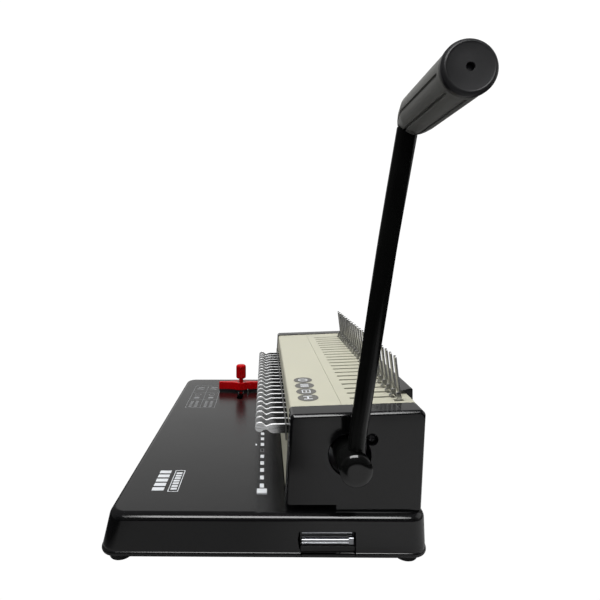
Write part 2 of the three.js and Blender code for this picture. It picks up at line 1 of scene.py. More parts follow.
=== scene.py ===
"""A comb-binding punch: a black base with a paper table in front, an ivory cover over the
punching works, selectors and comb tines along the rear, and a pull lever on the right.

The machine lies along x. Right is +x, rear is +y, and the desk is z = 0.
Shapes are given in the machine's own millimetres: x = 0 is the middle of the base and
y = 0 lies REAR in front of the base's rear edge. row() turns them into metres in the scene.
"""
import bpy
import bmesh
import json
import math
from contextlib import contextmanager
from mathutils import Vector, Matrix

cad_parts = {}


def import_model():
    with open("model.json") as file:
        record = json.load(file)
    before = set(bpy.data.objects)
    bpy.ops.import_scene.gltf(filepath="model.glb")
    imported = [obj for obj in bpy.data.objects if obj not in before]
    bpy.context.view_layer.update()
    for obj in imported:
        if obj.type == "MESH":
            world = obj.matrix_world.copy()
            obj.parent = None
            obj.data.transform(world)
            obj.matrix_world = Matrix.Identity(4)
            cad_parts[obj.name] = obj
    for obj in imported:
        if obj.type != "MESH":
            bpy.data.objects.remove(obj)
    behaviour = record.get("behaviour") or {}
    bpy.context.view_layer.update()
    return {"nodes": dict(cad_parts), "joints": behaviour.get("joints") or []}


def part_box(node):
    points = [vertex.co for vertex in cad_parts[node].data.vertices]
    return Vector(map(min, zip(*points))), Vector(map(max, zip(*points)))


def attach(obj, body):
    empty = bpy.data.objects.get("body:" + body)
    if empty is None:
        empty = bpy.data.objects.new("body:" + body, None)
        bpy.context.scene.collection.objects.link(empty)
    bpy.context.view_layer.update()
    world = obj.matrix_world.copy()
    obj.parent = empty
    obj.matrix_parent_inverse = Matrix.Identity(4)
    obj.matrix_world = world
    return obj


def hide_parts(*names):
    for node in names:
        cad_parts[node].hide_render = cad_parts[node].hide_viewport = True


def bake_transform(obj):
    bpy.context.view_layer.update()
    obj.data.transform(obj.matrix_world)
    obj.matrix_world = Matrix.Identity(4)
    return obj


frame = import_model()
NODES = frame["nodes"]


# ---------------------------------------------------------------- driving dimensions, mm
HALF_WIDTH, FRONT, REAR = 194, 132.9, 130.2     # base outline, measured from the origin
TABLE_Z = 39.5                                  # top of the paper table
COVER_HALF = 166.5                              # half length of the sheet covers
SHEET = 1.5                                     # thickness of the ivory sheets
GUIDE_Y = -36.0                                 # middle of the edge guide and its slot
CAP_SCREW = (85.8, 96.5)                        # y, z of the end cap screws

# one selector, key slot, hook and tine gap at each station, from right to left
PITCH, COUNT, FIRST = 14.2875, 21, 148.0
STATIONS = [FIRST - PITCH * k for k in range(COUNT)]

_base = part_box("base_shell")
X0 = (_base[0].x + _base[1].x) / 2
Y0 = _base[1].y - REAR / 1000


def row(point):
    """Machine millimetres to scene metres."""
    return Vector((X0 + point[0] / 1000, Y0 + point[1] / 1000, point[2] / 1000))


def to_mm(point):
    return ((point.x - X0) * 1000, (point.y - Y0) * 1000, point.z * 1000)


def node_box(name):
    low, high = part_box(name)
    return to_mm(low), to_mm(high)


def node_mid(name):
    return [(low + high) / 2 for low, high in zip(*node_box(name))]


_joints = {joint["name"]: joint for joint in frame["joints"]}
PIVOT = to_mm(Vector(_joints["lever_pull"]["pos_m"]))[1:]     # y, z of the lever's axis


def deck_z(y):
    """Height of the sloping deck."""
    return 114.8 + 0.04 * (y - 20)


def panel_y(z):
    """Front face of the leaning front panel."""
    return 16.9 + 0.0583 * (z - 39.5)


# ---------------------------------------------------------------- shader helpers
NOISE_BAND = (0.3, 0.7)     # the range in which most noise values lie


def grey(level):
    return (level, level, level)


def new_material(name):
    material = bpy.data.materials.new(name)
    material.use_nodes = True
    tree = material.node_tree
    return material, tree, tree.nodes["Principled BSDF"]


def add(tree, kind, inputs=None, **settings):
    """New shader node; an input is given as a value or as the socket that feeds it."""
    node = tree.nodes.new("ShaderNode" + kind)
    for key, value in settings.items():
        setattr(node, key, value)
    for key, value in (inputs or {}).items():
        if isinstance(value, bpy.types.NodeSocket):
            tree.links.new(value, node.inputs[key])
        else:
            node.inputs[key].default_value = value
    return node


def object_coords(tree, scale=(1, 1, 1)):
    source = add(tree, "TexCoord").outputs["Object"]
    return add(tree, "Mapping", {"Scale": scale, "Vector": source}).outputs["Vector"]


def noise(tree, vector, scale, detail=2.0, roughness=0.5):
    return add(tree, "TexNoise", {"Scale": scale, "Detail": detail, "Roughness": roughness,
                                  "Vector": vector}).outputs["Fac"]


def remap(tree, value, to, source=NOISE_BAND):
    return add(tree, "MapRange", {"From Min": source[0], "From Max": source[1],
                                  "To Min": to[0], "To Max": to[1],
                                  "Value": value}).outputs["Result"]


def bump(tree, height, strength, distance, normal=None):
    inputs = {"Strength": strength, "Distance": distance, "Height": height}
    if normal is not None:
        inputs["Normal"] = normal
    return add(tree, "Bump", inputs).outputs["Normal"]


def mix(tree, factor, first, second, data_type="RGBA", blend_type="MIX"):
    """Blend of two values; plain colours are given without alpha."""
    first, second = ((*value, 1) if isinstance(value, tuple) else value
                     for value in (first, second))
    return add(tree, "Mix", {"Factor": factor, "A": first, "B": second},
               data_type=data_type, blend_type=blend_type).outputs["Result"]


def math_node(tree, operation, *values):
    return add(tree, "Math", dict(enumerate(values)), operation=operation).outputs[0]


def geometry(tree, output):
    return add(tree, "NewGeometry").outputs[output]


def part_of(tree, vector, axis):
    return add(tree, "SeparateXYZ", {0: vector}).outputs[axis]


def drifting_colour(tree, slow, colour, vary):
    dark = tuple(c * (1 - vary) for c in colour)
    light = tuple(min(1.0, c * (1 + vary)) for c in colour)
    return mix(tree, remap(tree, slow, to=(0, 1)), dark, light)


def around(value, spread):
    return (value - spread, value + spread)


# ---------------------------------------------------------------- material recipes
def plastic(name, colour, rough, specular, vary, rough_vary, grain, grain_mm, grain_strength,
            peel, peel_strength):
    """Moulded or painted surface: slow colour drift, uneven gloss, fine grain, orange peel."""
    material, tree, bsdf = new_material(name)
    coords = object_coords(tree)
    slow = noise(tree, coords, scale=45.0, detail=3.0)
    fine = noise(tree, coords, scale=grain)
    wave = noise(tree, coords, scale=peel, detail=1.0)
    tree.links.new(drifting_colour(tree, slow, colour, vary), bsdf.inputs["Base Color"])
    tree.links.new(remap(tree, slow, to=around(rough, rough_vary)), bsdf.inputs["Roughness"])
    bsdf.inputs["Specular IOR Level"].default_value = specular
    normal = bump(tree, wave, strength=peel_strength, distance=0.0004)
    normal = bump(tree, fine, strength=grain_strength, distance=grain_mm / 1000, normal=normal)
    tree.links.new(normal, bsdf.inputs["Normal"])
    return material


def metal(name, colour, rough, along, brush, brush_strength, vary, rough_vary, spots):
    """Plated or brushed steel: fine lines drawn out one way, uneven gloss, dull spots."""
    material, tree, bsdf = new_material(name)
    stretched = object_coords(tree, along)
    plain = object_coords(tree)
    lines = noise(tree, stretched, scale=brush, detail=3.0, roughness=0.6)
    slow = noise(tree, plain, scale=60.0, detail=3.0)
    tree.links.new(drifting_colour(tree, slow, colour, vary), bsdf.inputs["Base Color"])
    roughness = remap(tree, lines, to=around(rough, rough_vary))
    if spots:
        dull = remap(tree, noise(tree, plain, scale=400.0), to=(0.0, spots), source=(0.55, 0.75))
        roughness = math_node(tree, "ADD", roughness, dull)
    tree.links.new(roughness, bsdf.inputs["Roughness"])
    bsdf.inputs["Metallic"].default_value = 1.0
    normal = bump(tree, lines, strength=brush_strength, distance=0.00001)
    tree.links.new(normal, bsdf.inputs["Normal"])
    return material


def table_black():
    """Gloss black moulding whose level top is a little duller and finely textured."""
    material, tree, bsdf = new_material("moulded_black_base")
    coords = object_coords(tree)
    slow = noise(tree, coords, scale=20.0, detail=3.0)
    fine = noise(tree, coords, scale=2600.0)
    wave = noise(tree, coords, scale=150.0, detail=1.0)
    upward = part_of(tree, geometry(tree, "True Normal"), "Z")
    level = remap(tree, upward, to=(0, 1), source=(0.985, 0.9995))
    colour = mix(tree, slow, (0.0030, 0.0030, 0.0032), (0.0046, 0.0046, 0.0050))
    tree.links.new(colour, bsdf.inputs["Base Color"])
    wall_rough = remap(tree, slow, to=(0.10, 0.15))
    top_rough = remap(tree, slow, to=(0.20, 0.25))
    tree.links.new(mix(tree, level, wall_rough, top_rough, data_type="FLOAT"),
                   bsdf.inputs["Roughness"])
    bsdf.inputs["Specular IOR Level"].default_value = 0.5
    normal = bump(tree, wave, strength=0.03, distance=0.0006)
    normal = bump(tree, fine, strength=0.05, distance=0.000008, normal=normal)
    tree.links.new(normal, bsdf.inputs["Normal"])
    return material


def paint_shade_between(material, reach, open_range, darkest):
    """Painted shade: darkens the colour of faces that look along x where other surfaces stand
    within reach.
    """
    tree = material.node_tree
    base = tree.nodes["Principled BSDF"].inputs["Base Color"]
    colour = base.links[0].from_socket
    openness = add(tree, "AmbientOcclusion", {"Distance": reach}, samples=8).outputs["AO"]
    shade_level = remap(tree, openness, to=(darkest, 1.0), source=open_range)
    sideways = math_node(tree, "ABSOLUTE", part_of(tree, geometry(tree, "Normal"), "X"))
    flat = remap(tree, sideways, to=(0, 1), source=(0.55, 0.85))
    darken = mix(tree, flat, 1.0, shade_level, data_type="FLOAT")
    tree.links.new(mix(tree, 1.0, colour, darken, blend_type="MULTIPLY"), base)


def paint_sheen_by_facing(material, normal, axis, source, to):
    """Painted sheen: sets how strongly a face reflects by the way it looks along an axis."""
    tree = material.node_tree
    facing = part_of(tree, geometry(tree, normal), axis)
    tree.links.new(remap(tree, facing, to=to, source=source),
                   tree.nodes["Principled BSDF"].inputs["Specular IOR Level"])


# ---------------------------------------------------------------- materials
# key: material name, colour, roughness, specular, colour drift, roughness drift,
#      grain scale, grain height mm, grain strength, orange peel scale, peel strength
PLASTICS = {
    "black": ("moulded_black_gloss", (0.0028, 0.0028, 0.0032),
              0.13, 0.5, 0.2, 0.03, 2200, 0.006, 0.06, 120, 0.035),
    "ivory": ("ivory_powder_coat", (0.485, 0.475, 0.374),
              0.42, 0.45, 0.03, 0.05, 2300, 0.02, 0.30, 420, 0.10),
    "lever": ("lever_gloss_paint", (0.0050, 0.0052, 0.0050),
              0.11, 0.5, 0.2, 0.03, 1500, 0.006, 0.05, 180, 0.05),
    # a copy of the lever's paint for the arm, which carries a painted sheen
    "arm": ("lever_arm_gloss_paint", (0.0050, 0.0052, 0.0050),
            0.12, 0.5, 0.2, 0.03, 1500, 0.006, 0.05, 180, 0.05),
    "cap": ("moulded_black_cap", (0.0028, 0.0028, 0.0032),
            0.13, 0.5, 0.2, 0.03, 2200, 0.006, 0.06, 120, 0.035),
    # a copy of the cap's finish for the far cap, which gets a weaker painted sheen on its top
    "cap_far": ("moulded_black_far_cap", (0.0028, 0.0028, 0.0032),
                0.16, 0.5, 0.2, 0.03, 2200, 0.006, 0.06, 120, 0.035),
    "grip": ("grip_satin_plastic", (0.155, 0.155, 0.146),
             0.52, 0.45, 0.08, 0.05, 1500, 0.03, 0.35, 300, 0.08),
    "gripcap": ("grip_cap_satin", (0.026, 0.026, 0.028),
                0.40, 0.30, 0.15, 0.06, 1300, 0.03, 0.3, 240, 0.12),
    "collar": ("grip_collar_black", (0.006, 0.006, 0.008),
               0.35, 0.5, 0.15, 0.05, 1800, 0.01, 0.15, 260, 0.05),
    "red": ("guide_gloss_red", (0.47, 0.001, 0.003),
            0.22, 0.16, 0.06, 0.04, 1500, 0.01, 0.1, 200, 0.05),
    "rubber": ("foot_rubber_black", grey(0.014),
               0.72, 0.35, 0.2, 0.08, 1200, 0.06, 0.5, 500, 0.1),
    "print": ("printed_pale_ink", (0.62, 0.64, 0.66),
              0.5, 0.3, 0.05, 0.05, 3000, 0.01, 0.3, 260, 0.05),
    "print_dim": ("printed_grey_ink", (0.20, 0.205, 0.21),
                  0.5, 0.3, 0.05, 0.05, 3000, 0.01, 0.3, 260, 0.05),
    "print_dark": ("printed_dark_disc", (0.13, 0.128, 0.118),
                   0.5, 0.3, 0.06, 0.05, 3000, 0.01, 0.3, 260, 0.05),
    "under": ("underside_black_paint", grey(0.010),
              0.5, 0.4, 0.2, 0.08, 1500, 0.03, 0.4, 260, 0.05),
}
# key: material name, colour, roughness, texture scale per axis (small draws lines out),
#      brush scale, brush strength, colour drift, roughness drift, added roughness of spots
METALS = {
    "selector": ("selector_bright_plate", (0.92, 0.93, 0.94),
                 0.27, (1, 0.08, 1), 1400, 0.06, 0.04, 0.04, 0.05),
    "comb": ("comb_satin_steel", (0.50, 0.50, 0.49),
             0.33, (1, 1, 0.06), 1400, 0.2, 0.12, 0.08, 0.1),
    "zinc": ("frame_zinc_sheet", (0.48, 0.49, 0.50),
             0.40, (1, 1, 1), 240, 0.10, 0.2, 0.08, 0.15),
    "rail": ("retainer_dull_strip", grey(0.20),
             0.38, (0.1, 1, 1), 900, 0.15, 0.15, 0.08, 0.1),
    "tool": ("tool_dark_steel", (0.13, 0.13, 0.135),
             0.36, (0.1, 1, 1), 900, 0.15, 0.2, 0.08, 0.1),
    "screw": ("screw_black_steel", (0.035, 0.035, 0.037),
              0.32, (1, 1, 1), 900, 0.15, 0.2, 0.08, 0.1),
    "shaft": ("shaft_ground_steel", (0.55, 0.55, 0.56),
              0.20, (0.05, 1, 1), 1500, 0.15, 0.06, 0.05, 0.0),
    "spring": ("spring_drawn_wire", (0.40, 0.40, 0.41),
               0.30, (1, 1, 1), 1800, 0.1, 0.1, 0.06, 0.0),
    # near black: painted shade on the bushings, which are seen deep in the hub hole
    "bronze": ("bushing_bronze_painted_shade", (0.026, 0.019, 0.012),
               0.48, (0.1, 1, 1), 1500, 0.15, 0.08, 0.06, 0.05),
    "pull": ("tray_pull_bright", (0.40, 0.41, 0.43),
             0.20, (1, 0.05, 1), 1300, 0.1, 0.06, 0.04, 0.0),
}
FINISH = {"table": table_black()}
FINISH.update({key: plastic(*recipe) for key, recipe in PLASTICS.items()})
FINISH.update({key: metal(*recipe) for key, recipe in METALS.items()})

# painted sheen: the arm reflects weakly on faces that look to the front or sideways, the caps
# weakly on their top faces, the far cap weakest
paint_sheen_by_facing(FINISH["arm"], "Normal", "Y", source=(0.0, 0.6), to=(0.06, 0.34))
paint_sheen_by_facing(FINISH["cap"], "True Normal", "Z", source=(0.93, 0.995), to=(0.5, 0.27))
paint_sheen_by_facing(FINISH["cap_far"], "True Normal", "Z", source=(0.80, 0.995), to=(0.5, 0.10))

# the selectors' plating scatters some of its light; painted shade darkens them between neighbours
_plating = FINISH["selector"].node_tree.nodes["Principled BSDF"]
_plating.inputs["Metallic"].default_value = 0.28
paint_shade_between(FINISH["selector"], reach=0.014, open_range=(0.76, 0.98), darkest=0.06)


# ---------------------------------------------------------------- outlines
def fillet(corners, steps=6):
    """Outline with rounded corners. Each corner is (a, b) or (a, b, radius)."""
    outline = []
    for i, corner in enumerate(corners):
        radius = corner[2] if len(corner) > 2 else 0
        tip = Vector(corner[:2])
        if radius <= 0:
            outline.append((tip.x, tip.y))
            continue
        before = Vector(corners[i - 1][:2]) - tip
        after = Vector(corners[(i + 1) % len(corners)][:2]) - tip
        to_before, to_after = before.normalized(), after.normalized()
        angle = math.acos(max(-1, min(1, to_before.dot(to_after))))
        if angle > math.pi - 1e-3:
            outline.append((tip.x, tip.y))
            continue
        reach = radius / math.tan(angle / 2)
        reach = min(reach, before.length * 0.49, after.length * 0.49)
        fitted = reach * math.tan(angle / 2)
        bisector = (to_before + to_after).normalized()
        centre = tip + bisector * (fitted / math.sin(angle / 2))
        start = tip + to_before * reach - centre
        end = tip + to_after * reach - centre
        first, last = math.atan2(start.y, start.x), math.atan2(end.y, end.x)
        sweep = (last - first + math.pi) % (2 * math.pi) - math.pi
        for k in range(steps + 1):
            turn = first + sweep * k / steps
            outline.append((centre.x + fitted * math.cos(turn),
                            centre.y + fitted * math.sin(turn)))

    def apart(point, other):
        return abs(point[0] - other[0]) + abs(point[1] - other[1])

    clean = []
    for point in outline:
        if not clean or apart(point, clean[-1]) > 1e-4:
            clean.append(point)
    if apart(clean[0], clean[-1]) < 1e-4:
        clean.pop()
    return clean


def rect(x0, x1, y0, y1):
    return [(x0, y0), (x1, y0), (x1, y1), (x0, y1)]


def round_rect(x0, x1, y0, y1, radius, steps):
    return fillet([(*corner, radius) for corner in rect(x0, x1, y0, y1)], steps)


def circle(centre, radius, steps=48):
    turns = [2 * math.pi * i / steps for i in range(steps)]
    return [(centre[0] + radius * math.cos(turn), centre[1] + radius * math.sin(turn))
            for turn in turns]


# ---------------------------------------------------------------- mesh tools
# Shapes named "tool" are used up by carve(), combine() or join().
def on_axis(axis, first, second, depth):
    """Point from outline coordinates and the depth along the axis."""
    if axis == "x":
        return (depth, first, second)
    if axis == "y":
        return (first, depth, second)
    return (first, second, depth)


@contextmanager
def editing(mesh):
    edit = bmesh.new()
    edit.from_mesh(mesh)
    yield edit
    edit.to_mesh(mesh)
    edit.free()


def add_object(name, data):
    part = bpy.data.objects.new(name, data)
    bpy.context.scene.collection.objects.link(part)
    return part


def discard(part):
    mesh = part.data
    bpy.data.objects.remove(part)
    if mesh.users == 0:
        bpy.data.meshes.remove(mesh)


def rings(name, loops):
    """Skin through equal loops of points, capped at both ends."""
    size, count = len(loops[0]), len(loops)
    faces = []
    for k in range(count - 1):
        low, high = k * size, (k + 1) * size
        for i in range(size):
            j = (i + 1) % size
            faces.append((low + i, low + j, high + j, high + i))
    faces.append(tuple(reversed(range(size))))
    faces.append(tuple((count - 1) * size + i for i in range(size)))
    mesh = bpy.data.meshes.new(name)
    mesh.from_pydata([row(point) for loop in loops for point in loop], [], faces)
    with editing(mesh) as edit:
        bmesh.ops.remove_doubles(edit, verts=edit.verts, dist=1e-7)
        bmesh.ops.recalc_face_normals(edit, faces=edit.faces)
    return add_object(name, mesh)


def prism(name, outline, axis, start, end):
    return rings(name, [[on_axis(axis, *point, depth) for point in outline]
                        for depth in (start, end)])


def cuboid(x0, x1, y0, y1, z0, z1):
    return prism("tool", rect(x0, x1, y0, y1), "z", z0, z1)


def turned(name, profile, axis, centre, steps=48):
    """Lathe: profile of (radius, distance along axis) about a centre across the axis."""
    return rings(name, [[on_axis(axis, *point, depth)
                         for point in circle(centre, max(radius, 0.02), steps)]
                        for radius, depth in profile])


def bake(part):
    """Applies the part's modifiers."""
    evaluated = part.evaluated_get(bpy.context.evaluated_depsgraph_get())
    mesh = bpy.data.meshes.new_from_object(evaluated)
    old = part.data
    part.modifiers.clear()
    part.data = mesh
    if old.users == 0:
        bpy.data.meshes.remove(old)


def combine(part, *tools, operation="DIFFERENCE"):
    for tool in tools:
        modifier = part.modifiers.new("carve", "BOOLEAN")
        modifier.operation = operation
        modifier.solver = "EXACT"
        modifier.object = tool
    bpy.context.view_layer.update()
    bake(part)
    for tool in tools:
        discard(tool)


def carve(part, *tools, operation="DIFFERENCE"):
    """Boolean cut or union, followed by a clean-up of tiny edges and flat faces."""
    combine(part, *tools, operation=operation)
    with editing(part.data) as edit:
        bmesh.ops.remove_doubles(edit, verts=edit.verts, dist=2e-6)
        bmesh.ops.dissolve_degenerate(edit, edges=edit.edges, dist=1e-6)
        bmesh.ops.dissolve_limit(edit, angle_limit=math.radians(0.4),
                                 verts=edit.verts, edges=edit.edges)


def weld(part, tool):
    carve(part, tool, operation="UNION")


def soften(part, width, segments=2, angle=50):
    """Bevels the edges sharper than angle."""
    modifier = part.modifiers.new("edge", "BEVEL")
    modifier.width = width / 1000
    modifier.segments = segments
    modifier.limit_method = "ANGLE"
    modifier.angle_limit = math.radians(angle)
    modifier.miter_outer = "MITER_ARC"
    modifier.use_clamp_overlap = True
    bpy.context.view_layer.update()
    bake(part)


def join(name, parts):
    """One object holding several closed shells."""
    edit = bmesh.new()
    for part in parts:
        edit.from_mesh(part.data)
    mesh = bpy.data.meshes.new(name)
    edit.to_mesh(mesh)
    edit.free()
    for part in parts:
        discard(part)
    return add_object(name, mesh)


def paint(part, finish):
    part.data.materials.clear()
    part.data.materials.append(FINISH[finish])
    mesh = part.data
    mesh.polygons.foreach_set("use_smooth", [True] * len(mesh.polygons))


def even_normals(part):
    modifier = part.modifiers.new("even_normals", "WEIGHTED_NORMAL")
    modifier.keep_sharp = True
    modifier.weight = 60


def place(part, finish, body, node=None, angle=40):
    """Finishes a part, hangs it on a moving body and lets it stand in for a CAD node."""
    paint(part, finish)
    part.data.set_sharp_from_angle(angle=math.radians(angle))
    part.data.update()
    even_normals(part)
    if body:
        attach(part, body)
    if node:
        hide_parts(node)


# ---------------------------------------------------------------- CAD pieces that stay
# node: finish, bevel width mm
DRESSED = {
    "bottom_plate": ("under", 0.2),
    "guide_clamp": ("screw", 0.4),
    "side_frame_right": ("zinc", 0.3),
    "side_frame_left": ("zinc", 0.3),
    "die_plate": ("zinc", 0.3),
    "pin_guide": ("zinc", 0.3),
    "throat_spacer": ("zinc", 0.3),
    "selector_retainer": ("rail", 0.15),
    # the bushings take the near-black bronze, painted shade in the hub hole
    "bushing_right": ("bronze", 0.3),
    "bushing_left": ("bronze", 0.3),
    "drive_shaft": ("shaft", 0.5),
    "punch_cam_right": ("tool", 0.2),
    "punch_cam_left": ("tool", 0.2),
    "opener_gear_right": ("tool", 0.2),
    "opener_gear_left": ("tool", 0.2),
    "punch_ram": ("tool", 0.3),
}


def dress(node, finish, bevel):
    """Finish, merged flat faces, softened edges and even shading."""
    part = NODES[node]
    flat = part.modifiers.new("flat", "DECIMATE")
    flat.decimate_type = "DISSOLVE"
    flat.angle_limit = math.radians(0.5)
    edge = part.modifiers.new("edge", "BEVEL")
    edge.width = bevel / 1000
    edge.segments = 2
    edge.limit_method = "ANGLE"
    edge.angle_limit = math.radians(32)
    edge.use_clamp_overlap = True
    even_normals(part)
    paint(part, finish)


for node, (finish, bevel) in DRESSED.items():
    dress(node, finish, bevel)

# ---------------------------------------------------------------- base with the paper table
# z, inset at the sides, inset at the front, inset at the rear, corner radius
BASE_OUTSIDE = [
    (7.4, 1.9, 2.2, 1.9, 12.5), (7.7, 1, 1.2, 1.0, 13.4), (8.3, 0.35, 0.4, 0.35, 14),
    (9.2, 0, 0.0, 0.0, 14.4), (10.2, 0, 0.1, 0.0, 14.4), (10.9, 0.25, 0.45, 0.2, 14.2),
    (11.5, 0.75, 1.1, 0.6, 14), (12.3, 0.72, 1.7, 0.8, 13.8), (14, 0.5, 2.2, 0.85, 13.8),
    (34.34, 2.46, 6.56, 0.96, 13.6), (35.35, 2.69, 6.79, 1.19, 13.53),
    (36.32, 3.1, 7.2, 1.6, 13.2), (37.03, 3.55, 7.65, 2.05, 12.84),
    (37.59, 4.01, 8.11, 2.51, 12.47), (38.1, 4.54, 8.64, 3.04, 12.05),
    (38.53, 5.13, 9.23, 3.63, 11.58), (38.89, 5.77, 9.87, 4.27, 11.06),
    (39.17, 6.45, 10.55, 4.95, 10.52), (39.37, 7.15, 11.25, 5.65, 9.96),
    (39.47, 7.77, 11.87, 6.27, 9.46), (TABLE_Z, 8.4, 12.5, 6.9, 8.96),
]
BASE_HOLLOW = [
    (5.0, 0.5, 0.5, 0.5, 14), (12.0, 1.2, 1.7, 0.8, 14),
    (35.6, 3.6, 6.4, 1.0, 14), (36.5, 4.6, 7.6, 1.7, 13.6),
]
BASE_WALL = 3.0


def drift(x, y, z):
    """Runs the right wall out towards the rear and draws in the right-hand corners."""
    share = max(x, 0.0) / HALF_WIDTH
    front_pull = 0.9 * share * min(y, 0.0) / 133 if z < 12 else 0.0
    return (x + share * (0.5 + 2.3 * (y + FRONT) / 263),
            y - 0.9 * share * max(y, 0.0) / 130 - front_pull, z)


def base_loops(levels, wall=0.0):
    loops = []
    for z, side, front, rear, radius in levels:
        x0, x1 = -HALF_WIDTH + side + wall, HALF_WIDTH - side - wall
        y0, y1 = -FRONT + front + wall, REAR - rear - wall
        radius = max(radius - wall, 3)
        plan = fillet([(x1, y0, radius), (x1, y1, radius), (x0, y1, radius), (x0, y0, radius)], 12)
        loops.append([drift(x, y, z) for x, y in plan])
    return loops


def base():
    shell = rings("base_housing", base_loops(BASE_OUTSIDE))
    carve(shell, rings("tool", base_loops(BASE_HOLLOW, BASE_WALL)))
    works_well = cuboid(-164.8, 164.8, 32.4, 121, 30, 45)
    half = 4.2
    guide_slot = prism("tool", round_rect(-155.0, -88.0, GUIDE_Y - half, GUIDE_Y + half,
                                          half * 0.98, 8), "z", 30, 45)
    tray_opening = prism("tool", fillet([
        (27.6, 9.3, 1), (71.0, 9.3, 1), (71.0, 27.3, 1), (26.7, 27.3, 1.2), (25.5, 21.5, 3),
        (26.5, 14.9, 1), (27.6, 13.9, 0.4)], 4), "x", 180, 200)
    carve(shell, works_well, guide_slot, tray_opening)
    soften(shell, 0.35, angle=55)
    place(shell, "table", "frame", "base_shell", angle=32)


base()

# foot: shift in x and y from the CAD foot
FEET = {
    "foot_front_left": (0.0, 0.0),
    "foot_front_right": (1.2, 0.0),
    "foot_rear_left": (0.0, 0.0),
    "foot_rear_right": (2.6, -3.0),
}


def foot(name, shift):
    low, high = node_box(name)
    mid = node_mid(name)
    centre = (mid[0] + shift[0], mid[1] + shift[1])
    radius = (high[0] - low[0]) / 2 + 0.8
    pad = turned(name + "_rubber", [
        (radius - 2.6, 0), (radius - 1.4, 0.15), (radius - 0.7, 0.6), (radius - 0.25, 1.5),
        (radius, 3.2), (radius, 6.4), (radius - 0.3, 7.2), (radius - 1.0, 7.55),
        (2.2, 7.6), (2.0, 10.6), (1.5, 11)], "z", centre)
    carve(pad, turned("tool", [(3.4, -1), (3.4, 0.7), (2.9, 1.0)], "z", centre, 32))
    place(pad, "rubber", "frame", name, angle=45)


for name, shift in FEET.items():
    foot(name, shift)

# ---------------------------------------------------------------- chip tray, opening to the right
TRAY_REAR_Y = 70.2
PULL_Y = 28.9           # front end of the metal pull


def tray_drawer():
    body = prism("chip_tray_drawer", fillet([
        (28.5, 10.0, 2.0), (TRAY_REAR_Y, 10.0, 2.0), (TRAY_REAR_Y, 26.6), (28.5, 26.6)], 5),
        "x", -150, 188)
    inside = prism("tool", fillet([
        (30, 11.5, 1.6), (68.7, 11.5, 1.6), (68.7, 30), (30, 30)], 5), "x", -148.5, 186.5)
    carve(body, inside)
    face = prism("tool", fillet([
        (186.9, 9.7), (192.7, 9.7, 0.8), (192.4, 14.9, 0.06), (188.8, 14.95, 0.2),
        (188.8, 25.2, 0.6), (188.9, 25.5, 0.1), (188.9, 26.9, 0.1), (186.9, 26.9)], 4),
        "y", 28.0, 70.6)
    soften(face, 0.25)
    weld(body, face)
    soften(body, 0.2, angle=60)
    place(body, "black", "tray", "chip_tray")


def tray_pull():
    """Rounded metal strip in the face's recess, with a block at its rear end and a lip above."""
    pull = prism("chip_tray_pull", fillet([
        (188.6, 15.05, 0.3), (190.7, 15.0, 0.6), (191.1, 16.4, 0.5), (190.5, 16.9, 0.3),
        (191.9, 17.5, 0.9), (191.7, 19.6, 1.1), (189.9, 20.3, 0.8), (188.6, 20.35, 0.3)], 5),
        "y", PULL_Y, 66.4)
    soften(pull, 0.2)
    block = prism("tool", fillet([
        (188.6, 15.1, 0.4), (191.7, 15.1, 0.9), (192.0, 21.0, 1.2), (188.6, 21.4, 0.4)], 5),
        "y", 66.0, TRAY_REAR_Y)
    soften(block, 0.4, 3)
    weld(pull, block)
    lip = prism("tool", fillet([
        (188.6, 24.6, 0.2), (191.9, 24.5, 0.3), (191.7, 25.6, 0.3), (190.6, 25.9, 0.3),
        (188.6, 26.0, 0.2)], 4), "y", PULL_Y, 68.6)
    weld(pull, lip)
    place(pull, "pull", "tray")


tray_drawer()
tray_pull()

# ---------------------------------------------------------------- edge guide
GUIDE_X = node_mid("edge_guide")[0]
GUIDE_CENTRE = (GUIDE_X, GUIDE_Y)
# half width, y: the bar swells round the knob
GUIDE_HALF = [
    (2.4, -69), (2.6, -60), (3.4, -52), (5.2, -45), (8.1, -40.5), (8.9, -36),
    (8.1, -31.5), (5.2, -27), (3.4, -20), (2.6, -12), (2.4, -3),
]
GUIDE_PLAN = ([(GUIDE_X + half, y) for half, y in GUIDE_HALF]
              + [(GUIDE_X - half, y) for half, y in reversed(GUIDE_HALF)])


def guide_bar():
    bar = prism("edge_guide_bar", fillet([(x, y, 1.6) for x, y in GUIDE_PLAN], 3),
                "z", 42.3, 53.2)
    soften(bar, 0.9, 3)
    weld(bar, turned("tool", [(6.2, 39.9), (6.2, 42.9)], "z", GUIDE_CENTRE))
    carve(bar, turned("tool", [(3.4, 30), (3.4, 60)], "z", GUIDE_CENTRE, 32))
    place(bar, "red", "guide", "edge_guide", angle=35)


def guide_shade_strip():
    """Black strip under the bar, a little smaller than the bar: painted shade standing in for the
    bar's unlit underside.
    """
    plan = [(GUIDE_X + (x - GUIDE_X) * 0.86, GUIDE_Y + (y - GUIDE_Y) * 0.985, 1.2)
            for x, y in GUIDE_PLAN]
    pad = prism("edge_guide_shade_strip", fillet(plan, 3), "z", 39.62, 42.35)
    place(pad, "collar", "guide", angle=35)


def guide_pin():
    pin = turned("edge_guide_pin", [
        (1.7, 39.65), (1.7, 43.6), (1.4, 44.2), (0.7, 44.5), (0.2, 44.52)],
        "z", (GUIDE_X + 6.6, -25.5), 24)
    place(pin, "pull", "guide", angle=35)


